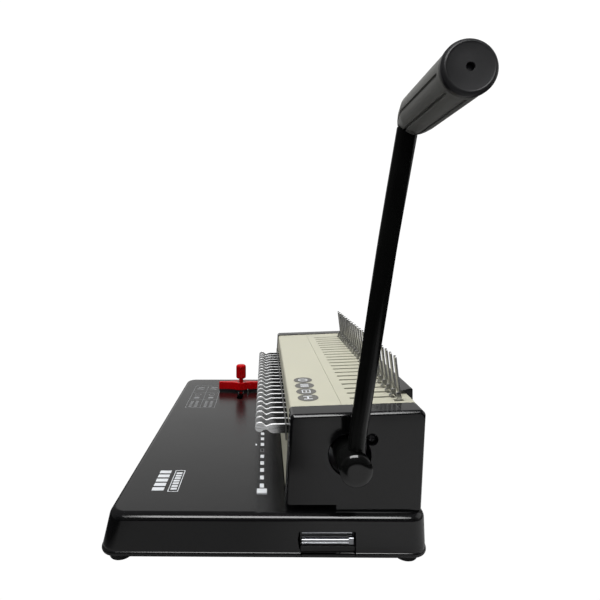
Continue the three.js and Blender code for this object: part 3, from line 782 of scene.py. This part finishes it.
def guide_knob():
    knob = turned("guide_knob_turned", [
        (2.6, 32.0), (3.0, 32.5), (3.0, 57.6), (5.4, 58.2), (6.6, 58.9), (7.2, 60.0),
        (7.3, 61.2), (7.3, 75.2), (7.1, 76.6), (6.5, 77.6), (5.5, 78.2), (4.0, 78.5),
        (2.0, 78.58), (0.3, 78.6)], "z", GUIDE_CENTRE, 60)
    # shallow finger flutes, centred just outside the rim
    flute = [(0.9, 61.6), (1.3, 62.4), (1.3, 74.4), (0.9, 75.2)]
    combine(knob, *[turned("tool", flute, "z", centre, 16)
                    for centre in circle(GUIDE_CENTRE, 8.05, 10)])
    place(knob, "red", "knob", "guide_knob")


guide_bar()
guide_shade_strip()
guide_pin()
guide_knob()

# ---------------------------------------------------------------- sheet covers
COVER_REAR_Y = 127.2
BEND_Z, BEND_RADIUS = 114.66, 3.0       # rolled bend between front panel and deck


def deck_cover():
    """Front panel and deck in one bent sheet."""
    bottom_z = 46
    bend_y = panel_y(BEND_Z)
    outer = fillet([(panel_y(bottom_z), bottom_z), (bend_y, BEND_Z, BEND_RADIUS),
                    (COVER_REAR_Y, deck_z(COVER_REAR_Y))], 10)
    inner = fillet([(panel_y(bottom_z) + SHEET, bottom_z),
                    (bend_y + SHEET + 0.02, BEND_Z - SHEET - 0.02, BEND_RADIUS - SHEET),
                    (COVER_REAR_Y, deck_z(COVER_REAR_Y) - SHEET)], 10)
    sheet = prism("deck_cover_sheet", outer + inner[::-1], "x", -COVER_HALF, COVER_HALF)
    plate_opening = cuboid(-159.2, 200, 65.15, 140, 100, 130)
    paper_slit = prism("tool", round_rect(-150, 160, 84.2, 98.4, 1.2, 4), "y", 10, 30)
    carve(sheet, plate_opening, paper_slit)
    soften(sheet, 0.3)
    place(sheet, "ivory", "frame", "deck_cover", angle=35)


def key_slot(x):
    """Slot along y that widens at its rear end."""
    return prism("tool", fillet([
        (x - 1.75, 75, 1.3), (x + 1.75, 75, 1.3), (x + 1.75, 110.8), (x + 3.3, 110.8, 0.8),
        (x + 3.3, 115.2, 0.8), (x - 3.3, 115.2, 0.8), (x - 3.3, 110.8, 0.8),
        (x - 1.75, 110.8)], 4), "z", 100, 130)


def slot_plate():
    """Rear part of the deck, with a key slot at each station."""
    y0, y1 = 65.3, COVER_REAR_Y
    plate = prism("slot_plate_sheet", [
        (y0, deck_z(y0)), (y1, deck_z(y1)), (y1, deck_z(y1) - SHEET), (y0, deck_z(y0) - SHEET)],
        "x", -158.9, COVER_HALF)
    carve(plate, join("tool", [key_slot(x) for x in STATIONS]))
    # a narrow slit behind the key slots, wider at both ends
    carve(plate,
          cuboid(-149.4, 159.6, 115.8, 118.9, 100, 130),
          cuboid(155.8, 160.6, 111.4, 119.6, 100, 130),
          cuboid(-150.35, -145.55, 111.4, 119.6, 100, 130))
    soften(plate, 0.22)
    place(plate, "ivory", "frame", "slot_plate", angle=35)


def rear_cover():
    back = prism("rear_cover_moulding", fillet([
        (121.6, 39.8, 0.4), (123.8, 39.8, 0.4), (126.9, 117, 0.4), (124.7, 117, 0.4)], 3),
        "x", -COVER_HALF, COVER_HALF)
    hood = prism("tool", fillet([
        (122.3, 119.5, 0.5), (127.6, 119.7), (127.6, 116.8, 0.3), (125.8, 116.4),
        (125.4, 104, 0.4), (132.9, 111, 1.2), (132.9, 124.5, 1.6), (122.3, 121.8, 0.5)], 5),
        "x", -137, 142)
    soften(hood, 0.6, 3)
    soften(back, 0.3)
    weld(back, hood)
    place(back, "black", "frame", "rear_cover", angle=35)


deck_cover()
slot_plate()
rear_cover()


# ---------------------------------------------------------------- end caps
def outward_span(node, sign):
    """Inner and outer distance of a node from the middle of the machine."""
    low, high = node_box(node)
    return (low[0], high[0]) if sign > 0 else (-high[0], -low[0])


def cap_outline(top, rim, low):
    """Drawn in by top at the upper edge, rim at front and rear, low at the lower edge."""
    return fillet([
        (16.75 + rim, 43.8 + low, 1.6), (55.6 + rim, 43.8 + low, 0.8),
        (55.6 + rim, 39.55 + low, 0.6), (125.2 - rim, 39.55 + low, 0.8),
        (129.35 - rim, 119.75 - top, 4.6 - 0.5 * rim),
        (20.5 + rim, 115.95 - top, 3.4 - 0.5 * rim)], 8)


# distance in from the outer face, then top, rim and low for cap_outline
CAP_EDGE = [
    (2.4, 0, 0, 0), (2.05, 0.04, 0.05, 0.0), (1.78, 0.14, 0.14, 0.0), (1.5, 0.30, 0.28, 0.02),
    (0.65, 1.35, 0.85, 0.1), (0.42, 1.68, 1.05, 0.16), (0.2, 2.08, 1.3, 0.26),
    (0.06, 2.45, 1.6, 0.42), (0, 2.9, 2.0, 0.62),
]


def end_cap(side, sign, finish):
    inner, outer = outward_span("end_cap_" + side, sign)
    steps = [(inner - 6, 0, 0, 0)] + [(outer - depth, *inset) for depth, *inset in CAP_EDGE]
    body = rings("end_cap_" + side + "_shell",
                 [[(sign * x, y, z) for y, z in cap_outline(*inset)] for x, *inset in steps])
    excess = cuboid(*sorted((sign * (inner - 10), sign * inner)), 0, 150, 20, 140)
    pocket = prism("tool", fillet([
        (20.6, 46.8, 1), (58.6, 46.8, 0.5), (58.6, 42.8, 0.5), (122.2, 42.8, 1),
        (126.1, 116.4, 2.5), (23.4, 112.9, 2)], 6), "x", sign * (inner - 9), sign * (outer - 3))
    carve(body, excess, pocket)

    def turned_x(profile, centre, count):
        return turned("tool", [(radius, sign * x) for radius, x in profile], "x", centre, count)

    weld(body, turned_x([(6.4, inner + 0.1), (6.4, outer - 2.5)], CAP_SCREW, 40))
    head_sink = turned_x([(4.5, outer - 5), (4.5, outer - 0.55), (4.7, outer - 0.2),
                          (5.15, outer), (5.15, outer + 3)], CAP_SCREW, 48)
    bore = turned_x([(2.4, inner - 8), (2.4, outer - 1)], CAP_SCREW, 32)
    carve(body, head_sink)
    carve(body, bore)
    if side == "right":
        hub_hole = turned_x([(16.9, 170), (16.9, outer - 0.9), (17.1, outer - 0.4),
                             (17.7, outer), (17.7, outer + 4)], PIVOT, 72)
        carve(body, hub_hole)
    place(body, finish, "frame", "end_cap_" + side, angle=34)


def cap_screw(side, sign):
    name = "cap_screw_" + side
    tip, head = outward_span(name, sign)
    profile = [(1.4, tip), (2.0, tip + 1.2), (2.0, head - 2.3), (3.7, head - 2.3),
               (3.9, head - 2.0), (3.9, head - 1.3), (3.6, head - 0.7), (2.9, head - 0.25),
               (1.8, head - 0.03), (0.4, head)]
    screw = turned(name + "_head", [(radius, sign * x) for radius, x in profile],
                   "x", CAP_SCREW, 40)
    # cross recess
    y, z = CAP_SCREW
    arm, half = 2.8, 0.55
    depth = sorted((sign * (head - 1.4), sign * (head + 2)))
    carve(screw,
          cuboid(*depth, y - half, y + half, z - arm, z + arm),
          cuboid(*depth, y - arm, y + arm, z - half, z + half))
    place(screw, "screw", "frame", name, angle=35)


for side, sign, finish in (("right", 1, "cap"), ("left", -1, "cap_far")):
    end_cap(side, sign, finish)
    cap_screw(side, sign)

# ---------------------------------------------------------------- selectors
# y, z round the flat tab: shank at the rear, wavy finger end, back to the shank
SHANK_TOP = [(38, 84.6), (38, 96.2), (33, 96.2), (33, 94.4)]
FINGER = [
    (7.4, 94.4), (5.2, 94.1), (3.4, 93.3), (1.8, 92.8), (0.3, 93.1), (-1.3, 94.3), (-3, 95.6),
    (-5.2, 95.8), (-7.2, 94.9), (-8.4, 93.2), (-8.8, 91), (-8.2, 89.3), (-6.8, 87.8), (-5, 87.2),
    (-3.2, 87.7), (-1.4, 89), (0.6, 89.5), (2.6, 88.8), (4.6, 87.1), (7.4, 86.4),
]
SHANK_BOTTOM = [(33, 86.4), (33, 84.6)]


def smooth_line(points, per=4):
    """Open Catmull-Rom curve with the given number of points to each span."""
    last = len(points) - 1
    curve = []
    for i in range(last):
        before, start, end, after = (Vector(points[min(max(i + j, 0), last)])
                                     for j in (-1, 0, 1, 2))
        for k in range(per):
            t = k / per
            point = 0.5 * ((2 * start) + (end - before) * t
                           + (2 * before - 5 * start + 4 * end - after) * t * t
                           + (3 * start - before - 3 * end + after) * t ** 3)
            curve.append((point.x, point.y))
    curve.append(points[-1])
    return curve


def selectors():
    """The first tab is built; the others are moved copies of its mesh."""
    first_mesh = first_x = None
    for k in range(COUNT):
        node = f"selector_{k + 1:02d}"
        mid_x = node_mid(node)[0]
        if first_mesh is None:
            tab = prism(node + "_tab", SHANK_TOP + smooth_line(FINGER) + SHANK_BOTTOM,
                        "x", mid_x - 1.25, mid_x + 1.25)
            soften(tab, 0.35, 3, 60)
            first_mesh, first_x = tab.data, mid_x
        else:
            tab = add_object(node + "_tab", first_mesh.copy())
            tab.data.transform(Matrix.Translation(((mid_x - first_x) / 1000, 0, 0)))
        place(tab, "selector", f"selector_pin_{k + 1:02d}", node)


selectors()


# ---------------------------------------------------------------- return springs
def return_spring(side):
    """Upright coil with one closed turn at each end."""
    node = "return_spring_" + side
    low, high = node_box(node)
    mid_x, mid_y = node_mid(node)[:2]
    wire = 0.5
    bottom, top = low[2] + wire, high[2] - wire
    coil_radius = (high[0] - low[0]) / 2 - wire
    turns, per_turn, around_wire = 8.0, 24, 12
    total = int(turns * per_turn)
    closed = 1.0 / turns        # share of the coil in one closed turn
    rise = 2 * wire             # height of a closed turn

    def height(i):
        share = i / total
        if share < closed:
            return bottom + share / closed * rise
        if share > 1 - closed:
            return top - (1 - share) / closed * rise
        middle = top - bottom - 2 * rise
        return bottom + rise + (share - closed) / (1 - 2 * closed) * middle

    loops = []
    for i in range(total + 1):
        turn = 2 * math.pi * i / per_turn
        outward = Vector((math.cos(turn), math.sin(turn), 0))
        centre = Vector((mid_x, mid_y, height(i))) + outward * coil_radius
        loop = []
        for j in range(around_wire):
            angle = 2 * math.pi * j / around_wire
            loop.append(tuple(centre + outward * (wire * math.cos(angle))
                              + Vector((0, 0, wire * math.sin(angle)))))
        loops.append(loop)
    coil = rings("return_coil_" + side, loops)
    place(coil, "spring", None, node, angle=60)
    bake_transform(coil)


for side in ("right", "left"):
    return_spring(side)

# ---------------------------------------------------------------- comb opener and tines
# y, z, corner radius
HOOK = [
    (109.8, 111.9), (113.2, 111.9), (113.2, 121.0, 0.8), (115.1, 121.9, 0.9),
    (116.05, 123.9, 1.2), (115.2, 125.6, 1.2), (113.7, 126.15, 1.2), (112.0, 125.5, 1.1),
    (111.3, 123.9, 1.0), (111.3, 121.8, 1.0), (109.8, 120.0, 0.9),
]
TINE_EAR = [
    (119.4, 104), (119.4, 110), (118.2, 113), (118, 121), (117.6, 123.4, 1), (116.6, 125.3, 1),
    (115, 125.8, 1), (113.5, 124.9, 1), (112.9, 123, 1), (113.4, 121, 1), (113.9, 118.6),
    (115.3, 113.8), (117, 104),
]
# half width, distance below the tip
TINE_TIP = [(2.6, 2.2), (2.45, 1.3), (2.0, 0.6), (1.3, 0.15), (0.5, 0)]


def hook_carriage():
    """The CAD bar and racks, with shaped hooks in place of the plain ones."""
    bar = add_object("hook_carriage_bar", NODES["hook_carriage"].data.copy())
    with editing(bar.data) as edit:
        bmesh.ops.remove_doubles(edit, verts=edit.verts, dist=1e-7)
        bmesh.ops.dissolve_limit(edit, angle_limit=math.radians(0.5),
                                 verts=edit.verts, edges=edit.edges)
    bar_top = 112.6
    carve(bar, cuboid(-200, 200, 60, 160, bar_top + 0.02, 140))
    soften(bar, 0.2)
    outline = fillet(HOOK, 5)
    hooks = join("tool", [prism("tool", outline, "x", x - 1.0, x + 1.0) for x in STATIONS])
    soften(hooks, 0.3, 3, 60)
    weld(bar, hooks)
    bar.data.validate()
    place(bar, "comb", "comb_opener", "hook_carriage", angle=38)


def tine_comb():
    """Sheet leaning forward at the top, with a tine on both sides of every station."""
    lean, thick = 0.115, 1.6
    slant = math.hypot(1, lean)
    tip_z, root_z, bottom_z = 156.5, 112.0, 100.0

    def on_sheet(x, up, depth):
        """up runs along the sheet from its lower edge, depth behind its front face."""
        y = 117.2 + lean * 18.6 - thick / 2 - lean * up / slant + depth / slant
        z = bottom_z + up / slant + depth * lean / slant
        return (x, y, z)

    tip = (tip_z - bottom_z) * slant
    root = (root_z - bottom_z) * slant
    left, right = -148.8, 159
    root_half = TINE_TIP[0][0]
    points = [(left, 0), (right, 0), (right, root)]
    for k in range(COUNT + 1):
        x = FIRST + PITCH / 2 - PITCH * k
        points.append((x + root_half, root, 0.8))
        points += [(x + half, tip - drop) for half, drop in TINE_TIP]
        points += [(x - half, tip - drop) for half, drop in reversed(TINE_TIP)]
        points.append((x - root_half, root, 0.8))
    points.append((left, root))
    outline = fillet(points, 3)
    sheet = rings("tine_comb", [[on_sheet(x, up, depth) for x, up in outline]
                                for depth in (0, thick)])
    soften(sheet, 0.35, 3, 60)
    for x in (158.2, -147.95):
        ear = prism("tool", fillet(TINE_EAR, 4), "x", x - thick / 2, x + thick / 2)
        soften(ear, 0.25, angle=60)
        weld(sheet, ear)
    place(sheet, "comb", "frame", "tine_plate", angle=38)


hook_carriage()
tine_comb()

# ---------------------------------------------------------------- lever
_low, _high = node_box("lever_hub")
HUB_RADIUS = (_high[1] - _low[1]) / 2
HUB_X = (_low[0], _high[0])
ARM_RADIUS = 6.85

# distance in from the rim, distance in from the outer face: the rounded outer edge
HUB_EDGE = [
    (0, 3.2), (0.12, 2.8), (0.45, 2.45), (0.9, 2.15), (1.3, 1.86), (1.9, 1.50), (2.7, 1.08),
    (3.6, 0.70), (4.6, 0.40), (5.8, 0.20), (7.4, 0.08), (9.4, 0.02), (11.5, 0),
]
# the arm's middle line: upright on the hub, then leaning back and outward
ARM_KNOTS = [Vector(point) for point in (
    (199, 70.5, PIVOT[1]), (203, 70.6, 102), (205.6, 71.2, 114), (209.3, 72.9, 131),
    (222, 78.3, 188), (233.4, 83.3, 240.5), (242.3, 87.7, 281.1), (252.8, 93.2, 328.2))]
ARM_END = len(ARM_KNOTS) - 1
# advance beyond the last ring, share of the arm's radius
ARM_DOME = [(0.5, 0.97), (1.2, 0.88), (1.7, 0.72), (1.95, 0.5)]


def lever_hub():
    x0, x1 = HUB_X
    profile = [(HUB_RADIUS - 0.6, x0), (HUB_RADIUS, x0 + 0.6)]
    profile += [(HUB_RADIUS - rim, x1 - depth) for rim, depth in HUB_EDGE]
    profile.append((0.4, x1))
    hub = turned("lever_hub_turned", profile, "x", PIVOT, 96)
    carve(hub, turned("tool", [(6.3, x0 - 5), (6.3, x1 - 9.5)], "x", PIVOT))
    place(hub, "lever", "lever", "lever_hub", angle=45)


def arm_path(t):
    """Point on the arm's middle line; whole values of t are the knots."""
    i = min(int(t), ARM_END - 1)
    share = t - i
    before, start = ARM_KNOTS[max(i - 1, 0)], ARM_KNOTS[i]
    end, after = ARM_KNOTS[i + 1], ARM_KNOTS[min(i + 2, ARM_END)]
    span = (end - start).length
    # tangents weighted by span length keep uneven spans smooth
    leave = arrive = end - start
    if i > 0:
        leave = (end - before) * (span / max(span + (start - before).length, 1e-6))
    if i < ARM_END - 1:
        arrive = (after - start) * (span / max((after - end).length + span, 1e-6))
    ease = share * share * (3 - 2 * share)
    return (start * (1 - ease) + end * ease + leave * (share * (1 - share) ** 2)
            - arrive * (share * share * (1 - share)))


def arm_tube(name, first, last, steps, radius, dome=()):
    sides = 56

    def ring(centre, across, up, size):
        turns = [2 * math.pi * j / sides for j in range(sides)]
        return [tuple(centre + across * (size * math.cos(turn)) + up * (size * math.sin(turn)))
                for turn in turns]

    loops = []
    for k in range(steps + 1):
        t = first + (last - first) * k / steps
        centre = arm_path(t)
        forward = (arm_path(min(t + 0.02, ARM_END)) - arm_path(max(t - 0.02, 0))).normalized()
        across = (Vector((1, 0, 0)) - forward * forward.x).normalized()
        up = forward.cross(across)
        loops.append(ring(centre, across, up, radius))
    for advance, share in dome:
        loops.append(ring(centre + forward * advance, across, up, radius * share))
    return rings(name, loops)


def lever_arm():
    arm = arm_tube("lever_arm_tube", 0.35, ARM_END + 1 - 1.04, 44, ARM_RADIUS, ARM_DOME)
    # cleared where the hub turns
    carve(arm, turned("tool", [(HUB_RADIUS + 0.25, 150), (HUB_RADIUS + 0.25, 260)],
                      "x", PIVOT, 96))
    place(arm, "arm", "lever", "lever_arm", angle=50)


GRIP_START, GRIP_END = (corner[0] for corner in node_box("lever_grip"))
_low, _high = node_box("grip_end_cap")
CAP_START, CAP_END = _low[0], _high[0]
CAP_RADIUS = (_high[1] - _low[1]) / 2
GRIP_CENTRE = node_mid("grip_end_cap")[1:]

# x, radius, groove depth of the grip's inner part, measured for a grip that starts at the first x
GRIP_NOSE = [
    (238.2, 2.6, 0), (238.3, 3.6, 0), (238.7, 4.7, 0), (239.3, 5.6, 0), (240.3, 6.4, 0),
    (241.8, 7.15, 0), (244.0, 8.0, 0), (246.5, 8.75, 0), (249.2, 9.45, 0), (251.6, 10.05, 0.0),
    (252.6, 10.35, 0.25), (254.0, 10.7, 0.7), (256.5, 11.3, 1.0), (260, 11.8, 1.1),
    (265, 12.4, 1.15), (270, 12.95, 1.15), (290, 13.12, 1.15),
]
# distance in from the outer end, radius, groove depth
GRIP_TAIL = [
    (5.2, 13.4, 1.1), (4.0, 13.4, 0.8), (3.2, 13.4, 0.2), (2.6, 13.4, 0.0), (0.5, 13.4, 0),
    (0, 13.0, 0),
]


def grip_section(x, radius, depth):
    """Ring of the grip with eight rounded ridges between narrow grooves."""
    points, groove_pitch = 256, 2 * math.pi / 8
    if x < 258:
        sway = 0.3
    elif x < 270:
        sway = 0.3 - 1.05 * (x - 258) / 12
    else:
        sway = -0.75 * (CAP_END - x) / 65
    mid_y, mid_z = GRIP_CENTRE[0] + sway, GRIP_CENTRE[1]
    ring = []
    for i in range(points):
        turn = 2 * math.pi * i / points
        share = ((turn - math.radians(4)) / groove_pitch) % 1.0
        from_groove = min(share, 1 - share) * groove_pitch * radius
        cut = 0.0
        if from_groove < 0.5:
            cut = depth
        elif from_groove < 0.9:
            ramp = (from_groove - 0.5) / 0.4
            cut = depth * (1 - ramp * ramp * (3 - 2 * ramp))
        crown = 0.22 * (4 * share * (1 - share) - 0.6) * min(1.0, depth)
        reach = radius - cut + crown
        ring.append((x, mid_y + reach * math.cos(turn), mid_z + reach * math.sin(turn)))
    return ring


def lever_grip():
    shift = GRIP_START - GRIP_NOSE[0][0]
    steps = [(x + shift, radius, depth) for x, radius, depth in GRIP_NOSE]
    steps.append((310, 13.3, 1.15))
    steps += [(GRIP_END - inset, radius, depth) for inset, radius, depth in GRIP_TAIL]
    grip = rings("lever_grip_fluted", [grip_section(*step) for step in steps])
    carve(grip, arm_tube("tool", ARM_END - 1, ARM_END, 8, ARM_RADIUS + 0.3))
    mid_z = GRIP_CENTRE[1]
    carve(grip, turned("tool", [(3.4, mid_z - 20), (3.4, mid_z - 11.2), (3.0, mid_z - 10.2)],
                       "z", (263.5, 91.5), 32))
    place(grip, "grip", "lever", "lever_grip", angle=30)


def grip_cap():
    x0, x1, radius = CAP_START, CAP_END, CAP_RADIUS
    cap = turned("grip_end_cap_disc", [
        (radius - 1.2, x0), (radius - 0.5, x0 + 0.15), (radius, x0 + 0.8), (radius, x1 - 1.9),
        (radius - 0.15, x1 - 1.35), (radius - 0.5, x1 - 0.8), (radius - 1.0, x1 - 0.35),
        (radius - 1.5, x1 - 0.08), (radius - 1.9, x1), (radius - 2.3, x1 - 0.05),
        (radius - 2.7, x1 - 0.3), (6.0, x1 - 0.38), (2.3, x1 - 0.4), (2.05, x1 - 0.6),
        (2.0, x1 - 1.0), (2.0, x0 + 1.2), (0.3, x0 + 1.2)], "x", GRIP_CENTRE, 96)
    place(cap, "gripcap", "lever", "grip_end_cap", angle=32)
    # the middle hole is darker, painted shade in its hollow; the rim is darker as well
    cap.data.materials.append(FINISH["collar"])
    origin_y = row((0, 0, 0)).y * 1000
    for face in cap.data.polygons:
        centre = face.center * 1000
        out = math.hypot(centre.y - GRIP_CENTRE[0] - origin_y, centre.z - GRIP_CENTRE[1])
        if out < 2.2 or (abs(face.normal.x) < 0.35 and out > 8):
            face.material_index = 1


lever_hub()
lever_arm()
lever_grip()
grip_cap()


# ---------------------------------------------------------------- printed marks
def ink(outlines, name, finish, surface_z, thick=0.06):
    """Thin raised ink: closed (x, y) outlines laid on a surface."""
    marks = [rings("tool", [[(x, y, surface_z(y) + lift) for x, y in outline]
                            for lift in (0.005, thick)]) for outline in outlines]
    place(join(name, marks), finish, "frame", angle=50)


def frame_bars(x0, x1, y0, y1, width):
    return [rect(x0, x1, y0, y0 + width), rect(x0, x1, y1 - width, y1),
            rect(x0, x0 + width, y0 + width, y1 - width),
            rect(x1 - width, x1, y0 + width, y1 - width)]


def ring_bars(mid_x, mid_y, radius, width):
    """Ring made of 32 short bars that just overlap."""
    inner, bars, count = radius - width, [], 32
    for i in range(count):
        start, end = 2 * math.pi * i / count, 2 * math.pi * (i + 1.001) / count
        bars.append([(mid_x + size * math.cos(turn), mid_y + size * math.sin(turn))
                     for size, turn in ((inner, start), (radius, start),
                                        (radius, end), (inner, end))])
    return bars


def table_marks():
    pale, dim = [], []
    # one mark at each station, the sixth an open frame
    for k, x in enumerate(STATIONS):
        if k == 5:
            dim += frame_bars(x - 3.5, x + 3.5, -4.6, -1.0, 0.45)
        else:
            pale.append(rect(x - 3.5, x + 3.5, -4.6, -1.0))
    pale.append(rect(61.0, 65.0, -10.2, -8.6))
    pale.append(rect(153, 160, -7.1, 1.6))
    dim.append(rect(160, 162.5, -7.1, 1.6))
    pale.append(rect(-126.5, -123.5, -26.2, -24.2))
    # front right: a framed row of seven bars over a row of five
    pale += frame_bars(120, 158, -84.5, -75.3, 0.7)
    pale += [rect(124 + 4.6 * i, 127.2 + 4.6 * i, -82.6, -77.2) for i in range(7)]
    pale += [rect(120.5 + 7.6 * i, 125.8 + 7.6 * i, -98.6, -88.2) for i in range(5)]

    # front left: a ruled panel of two rows of signs
    dim += frame_bars(-153, -53, -107, -67.5, 0.7)
    dim += [rect(-153, -53, -87.6, -87.0),
            rect(-117.3, -116.7, -107, -67.5), rect(-87.3, -86.7, -107, -67.5)]
    for y in (-97.5, -77.5):
        for x in (-146, -138):
            dim.append([(x, y - 5), (x + 3.2, y - 5), (x + 6.2, y + 5), (x + 3.0, y + 5)])
        dim += ring_bars(-108, y, 4.6, 0.9)
        dim.append(rect(-98, -91, y - 3.5, y + 3.5))
        for i in range(5):
            x0, x1 = -80 + 5.2 * i, -77 + 5.2 * i
            dim += [rect(x0, x1, y - 5.5, y - 1.5), rect(x0, x1, y + 1.5, y + 5.5)]

    def table_top(y):
        return TABLE_Z

    ink(pale, "table_marks_pale", "print", table_top)
    ink(dim, "table_marks_grey", "print_dim", table_top)


def deck_icons():
    """Four dark discs at the front of the deck, each with a pale sign."""
    y = 38.7
    centres = (142, 123.7, 105.1, 86.0)
    h_x, box_x, bars_x, ring_x = centres
    signs = [rect(h_x - 4.6, h_x + 4.6, y - 0.8, y + 0.8),
             rect(h_x - 4.6, h_x - 3.0, y - 4, y + 4), rect(h_x + 3.0, h_x + 4.6, y - 4, y + 4)]
    signs += frame_bars(box_x - 4.6, box_x + 4.6, y - 4, y + 4, 1.0)
    signs.append(rect(box_x - 2.4, box_x + 2.4, y - 0.5, y + 0.5))
    signs += [rect(bars_x - 4.8 + 2.6 * j, bars_x - 3.4 + 2.6 * j, y - 4, y + 4)
              for j in range(4)]
    signs += ring_bars(ring_x, y, 4.8, 1.0)
    signs.append(rect(ring_x - 0.6, ring_x + 0.6, y - 3.2, y + 3.2))
    ink([circle((x, y), 9.35) for x in centres], "deck_icon_discs", "print_dark", deck_z, 0.05)
    ink(signs, "deck_icon_signs", "print", deck_z, 0.09)


table_marks()
deck_icons()


# ---------------------------------------------------------------- floor
def floor_material():
    """White to the camera; other rays find a painted pool of light round the machine on a dark
    floor.
    """
    material, tree, _ = new_material("pale_floor")
    is_camera = add(tree, "LightPath").outputs["Is Camera Ray"]
    position = geometry(tree, "Position")
    origin = row((0, 0, 0))

    def step(axis, start, end):
        """Smooth rise from 0 to 1 between two places on an axis, in mm."""
        offset = origin.x if axis == "X" else origin.y
        return add(tree, "MapRange", {"From Min": offset + start / 1000,
                                      "From Max": offset + end / 1000,
                                      "Value": part_of(tree, position, axis)},
                   interpolation_type="SMOOTHSTEP").outputs["Result"]

    def times(first, second):
        return math_node(tree, "MULTIPLY", first, second)

    def inverse(value):
        return math_node(tree, "SUBTRACT", 1.0, value)

    right_limit = inverse(step("X", 480, 600))
    rear_limit = inverse(step("Y", 280, 420))
    front_limit = step("Y", -190, -120)
    # painted shade: the pool dims towards the front, and a patch beyond the machine's right end is
    # painted dark
    front_painted_shade = math_node(tree, "ADD", 0.5, times(0.5, step("Y", -30, 90)))
    right_painted_shade = times(step("X", 322, 352), inverse(step("Y", 12, 66)))
    pale = times(times(right_limit, rear_limit),
                 times(times(front_limit, front_painted_shade), inverse(right_painted_shade)))
    seen = mix(tree, pale, grey(0.012), grey(0.50))
    colour = mix(tree, is_camera, seen, grey(0.98))
    diffuse = add(tree, "BsdfDiffuse", {"Color": colour}).outputs[0]
    glow = add(tree, "Emission", {"Color": (*grey(1.02), 1)}).outputs[0]
    above = add(tree, "MixShader", {0: is_camera, 1: diffuse, 2: glow}).outputs[0]
    # clear from underneath, so the feet and the bottom plate can be looked at
    clear = add(tree, "BsdfTransparent").outputs[0]
    both = add(tree, "MixShader", {0: geometry(tree, "Backfacing"), 1: above, 2: clear})
    tree.links.new(both.outputs[0], tree.nodes["Material Output"].inputs["Surface"])
    return material


def stage_floor():
    half = 6.0      # metres
    mesh = bpy.data.meshes.new("floor")
    mesh.from_pydata([(x, y, 0) for x, y in rect(-half, half, -half, half)], [], [(0, 1, 2, 3)])
    floor = add_object("floor", mesh)
    mesh.materials.append(floor_material())


# ---------------------------------------------------------------- world
def ramp(tree, factor, stops):
    """Eased colour ramp through (position, colour) stops."""
    node = add(tree, "ValToRGB", {0: factor})
    node.color_ramp.interpolation = "EASE"
    elements = node.color_ramp.elements
    first, *middle, last = stops
    for element, (position, colour) in zip(list(elements), (first, last)):
        element.position, element.color = position, (*colour, 1)
    for position, colour in middle:
        elements.new(position).color = (*colour, 1)
    return node.outputs["Color"]


def world():
    studio = bpy.data.worlds.new("studio")
    bpy.context.scene.world = studio
    studio.use_nodes = True
    tree = studio.node_tree
    direction = add(tree, "TexCoord").outputs["Generated"]
    # along x: a pale wall on the left, darkening towards the camera on the right
    along_x = ramp(tree, remap(tree, part_of(tree, direction, "X"), to=(0, 1), source=(-1, 1)), [
        (0.0, (0.66, 0.66, 0.655)), (0.22, grey(0.60)), (0.45, grey(0.95)), (0.62, grey(0.85)),
        (0.80, grey(0.22)), (0.90, grey(0.08)), (1.0, (0.06, 0.06, 0.063))])
    # along y: dimmer to the front and the rear
    along_y = ramp(tree, remap(tree, part_of(tree, direction, "Y"), to=(0, 1), source=(-1, 1)), [
        (0.0, grey(0.16)), (0.20, grey(0.22)), (0.34, grey(1.0)), (0.62, grey(1.0)),
        (0.82, grey(0.40)), (1.0, grey(0.30))])
    walls = mix(tree, 1.0, along_x, along_y, blend_type="MULTIPLY")
    overhead = ramp(tree, part_of(tree, direction, "Z"), [(0.50, grey(0.0)), (0.66, grey(1.0))])
    surround = mix(tree, overhead, walls, (0.16, 0.16, 0.165))
    is_camera = add(tree, "LightPath").outputs["Is Camera Ray"]
    background = tree.nodes["Background"]
    tree.links.new(mix(tree, is_camera, surround, grey(1.05)), background.inputs["Color"])
    background.inputs["Strength"].default_value = 1.0


# ---------------------------------------------------------------- lights and camera
def area_light(name, at, aim, size, radiance, glossy=True, diffuse=True):
    """Rectangular light; at and aim in machine mm, size in metres."""
    light = bpy.data.lights.new(name, "AREA")
    light.shape = "RECTANGLE"
    light.size, light.size_y = size
    light.energy = radiance * math.pi * size[0] * size[1]
    lamp = add_object(name, light)
    lamp.location = row(at)
    lamp.rotation_euler = (row(aim) - row(at)).to_track_quat("-Z", "Y").to_euler()
    lamp.visible_glossy = glossy
    lamp.visible_diffuse = diffuse


def lights():
    area_light("key_overhead", at=(-60, -60, 1900), aim=(0, 0, 60), size=(0.95, 1.5),
               radiance=8.5, glossy=False)
    area_light("key_softbox", at=(1530, 0, 1610), aim=(150, 0, 60), size=(1.3, 0.85),
               radiance=10.0, diffuse=False)
    area_light("fill_front", at=(100, -1700, 900), aim=(0, 0, 80), size=(1.4, 1.2),
               radiance=1.7, glossy=False)
    area_light("fill_rear", at=(100, 1700, 900), aim=(0, 0, 80), size=(1.4, 1.2), radiance=0.5)
    area_light("fill_side", at=(1900, -350, 650), aim=(150, 0, 150), size=(1.4, 1.2),
               radiance=1.75, glossy=False)


def camera():
    """Looks level along -x from the right, shifted to frame the machine."""
    lens = bpy.data.cameras.new("camera")
    lens.lens = 26.82
    lens.sensor_width = 36
    lens.shift_x = 0.0583
    lens.shift_y = -0.0767
    lens.clip_start = 0.02
    viewer = add_object("camera", lens)
    viewer.location = row((544, 0, 244.7))
    viewer.rotation_euler = (math.radians(90), 0, math.radians(90))
    bpy.context.scene.camera = viewer


stage_floor()
world()
lights()
camera()
bpy.context.scene.view_settings.view_transform = "Standard"
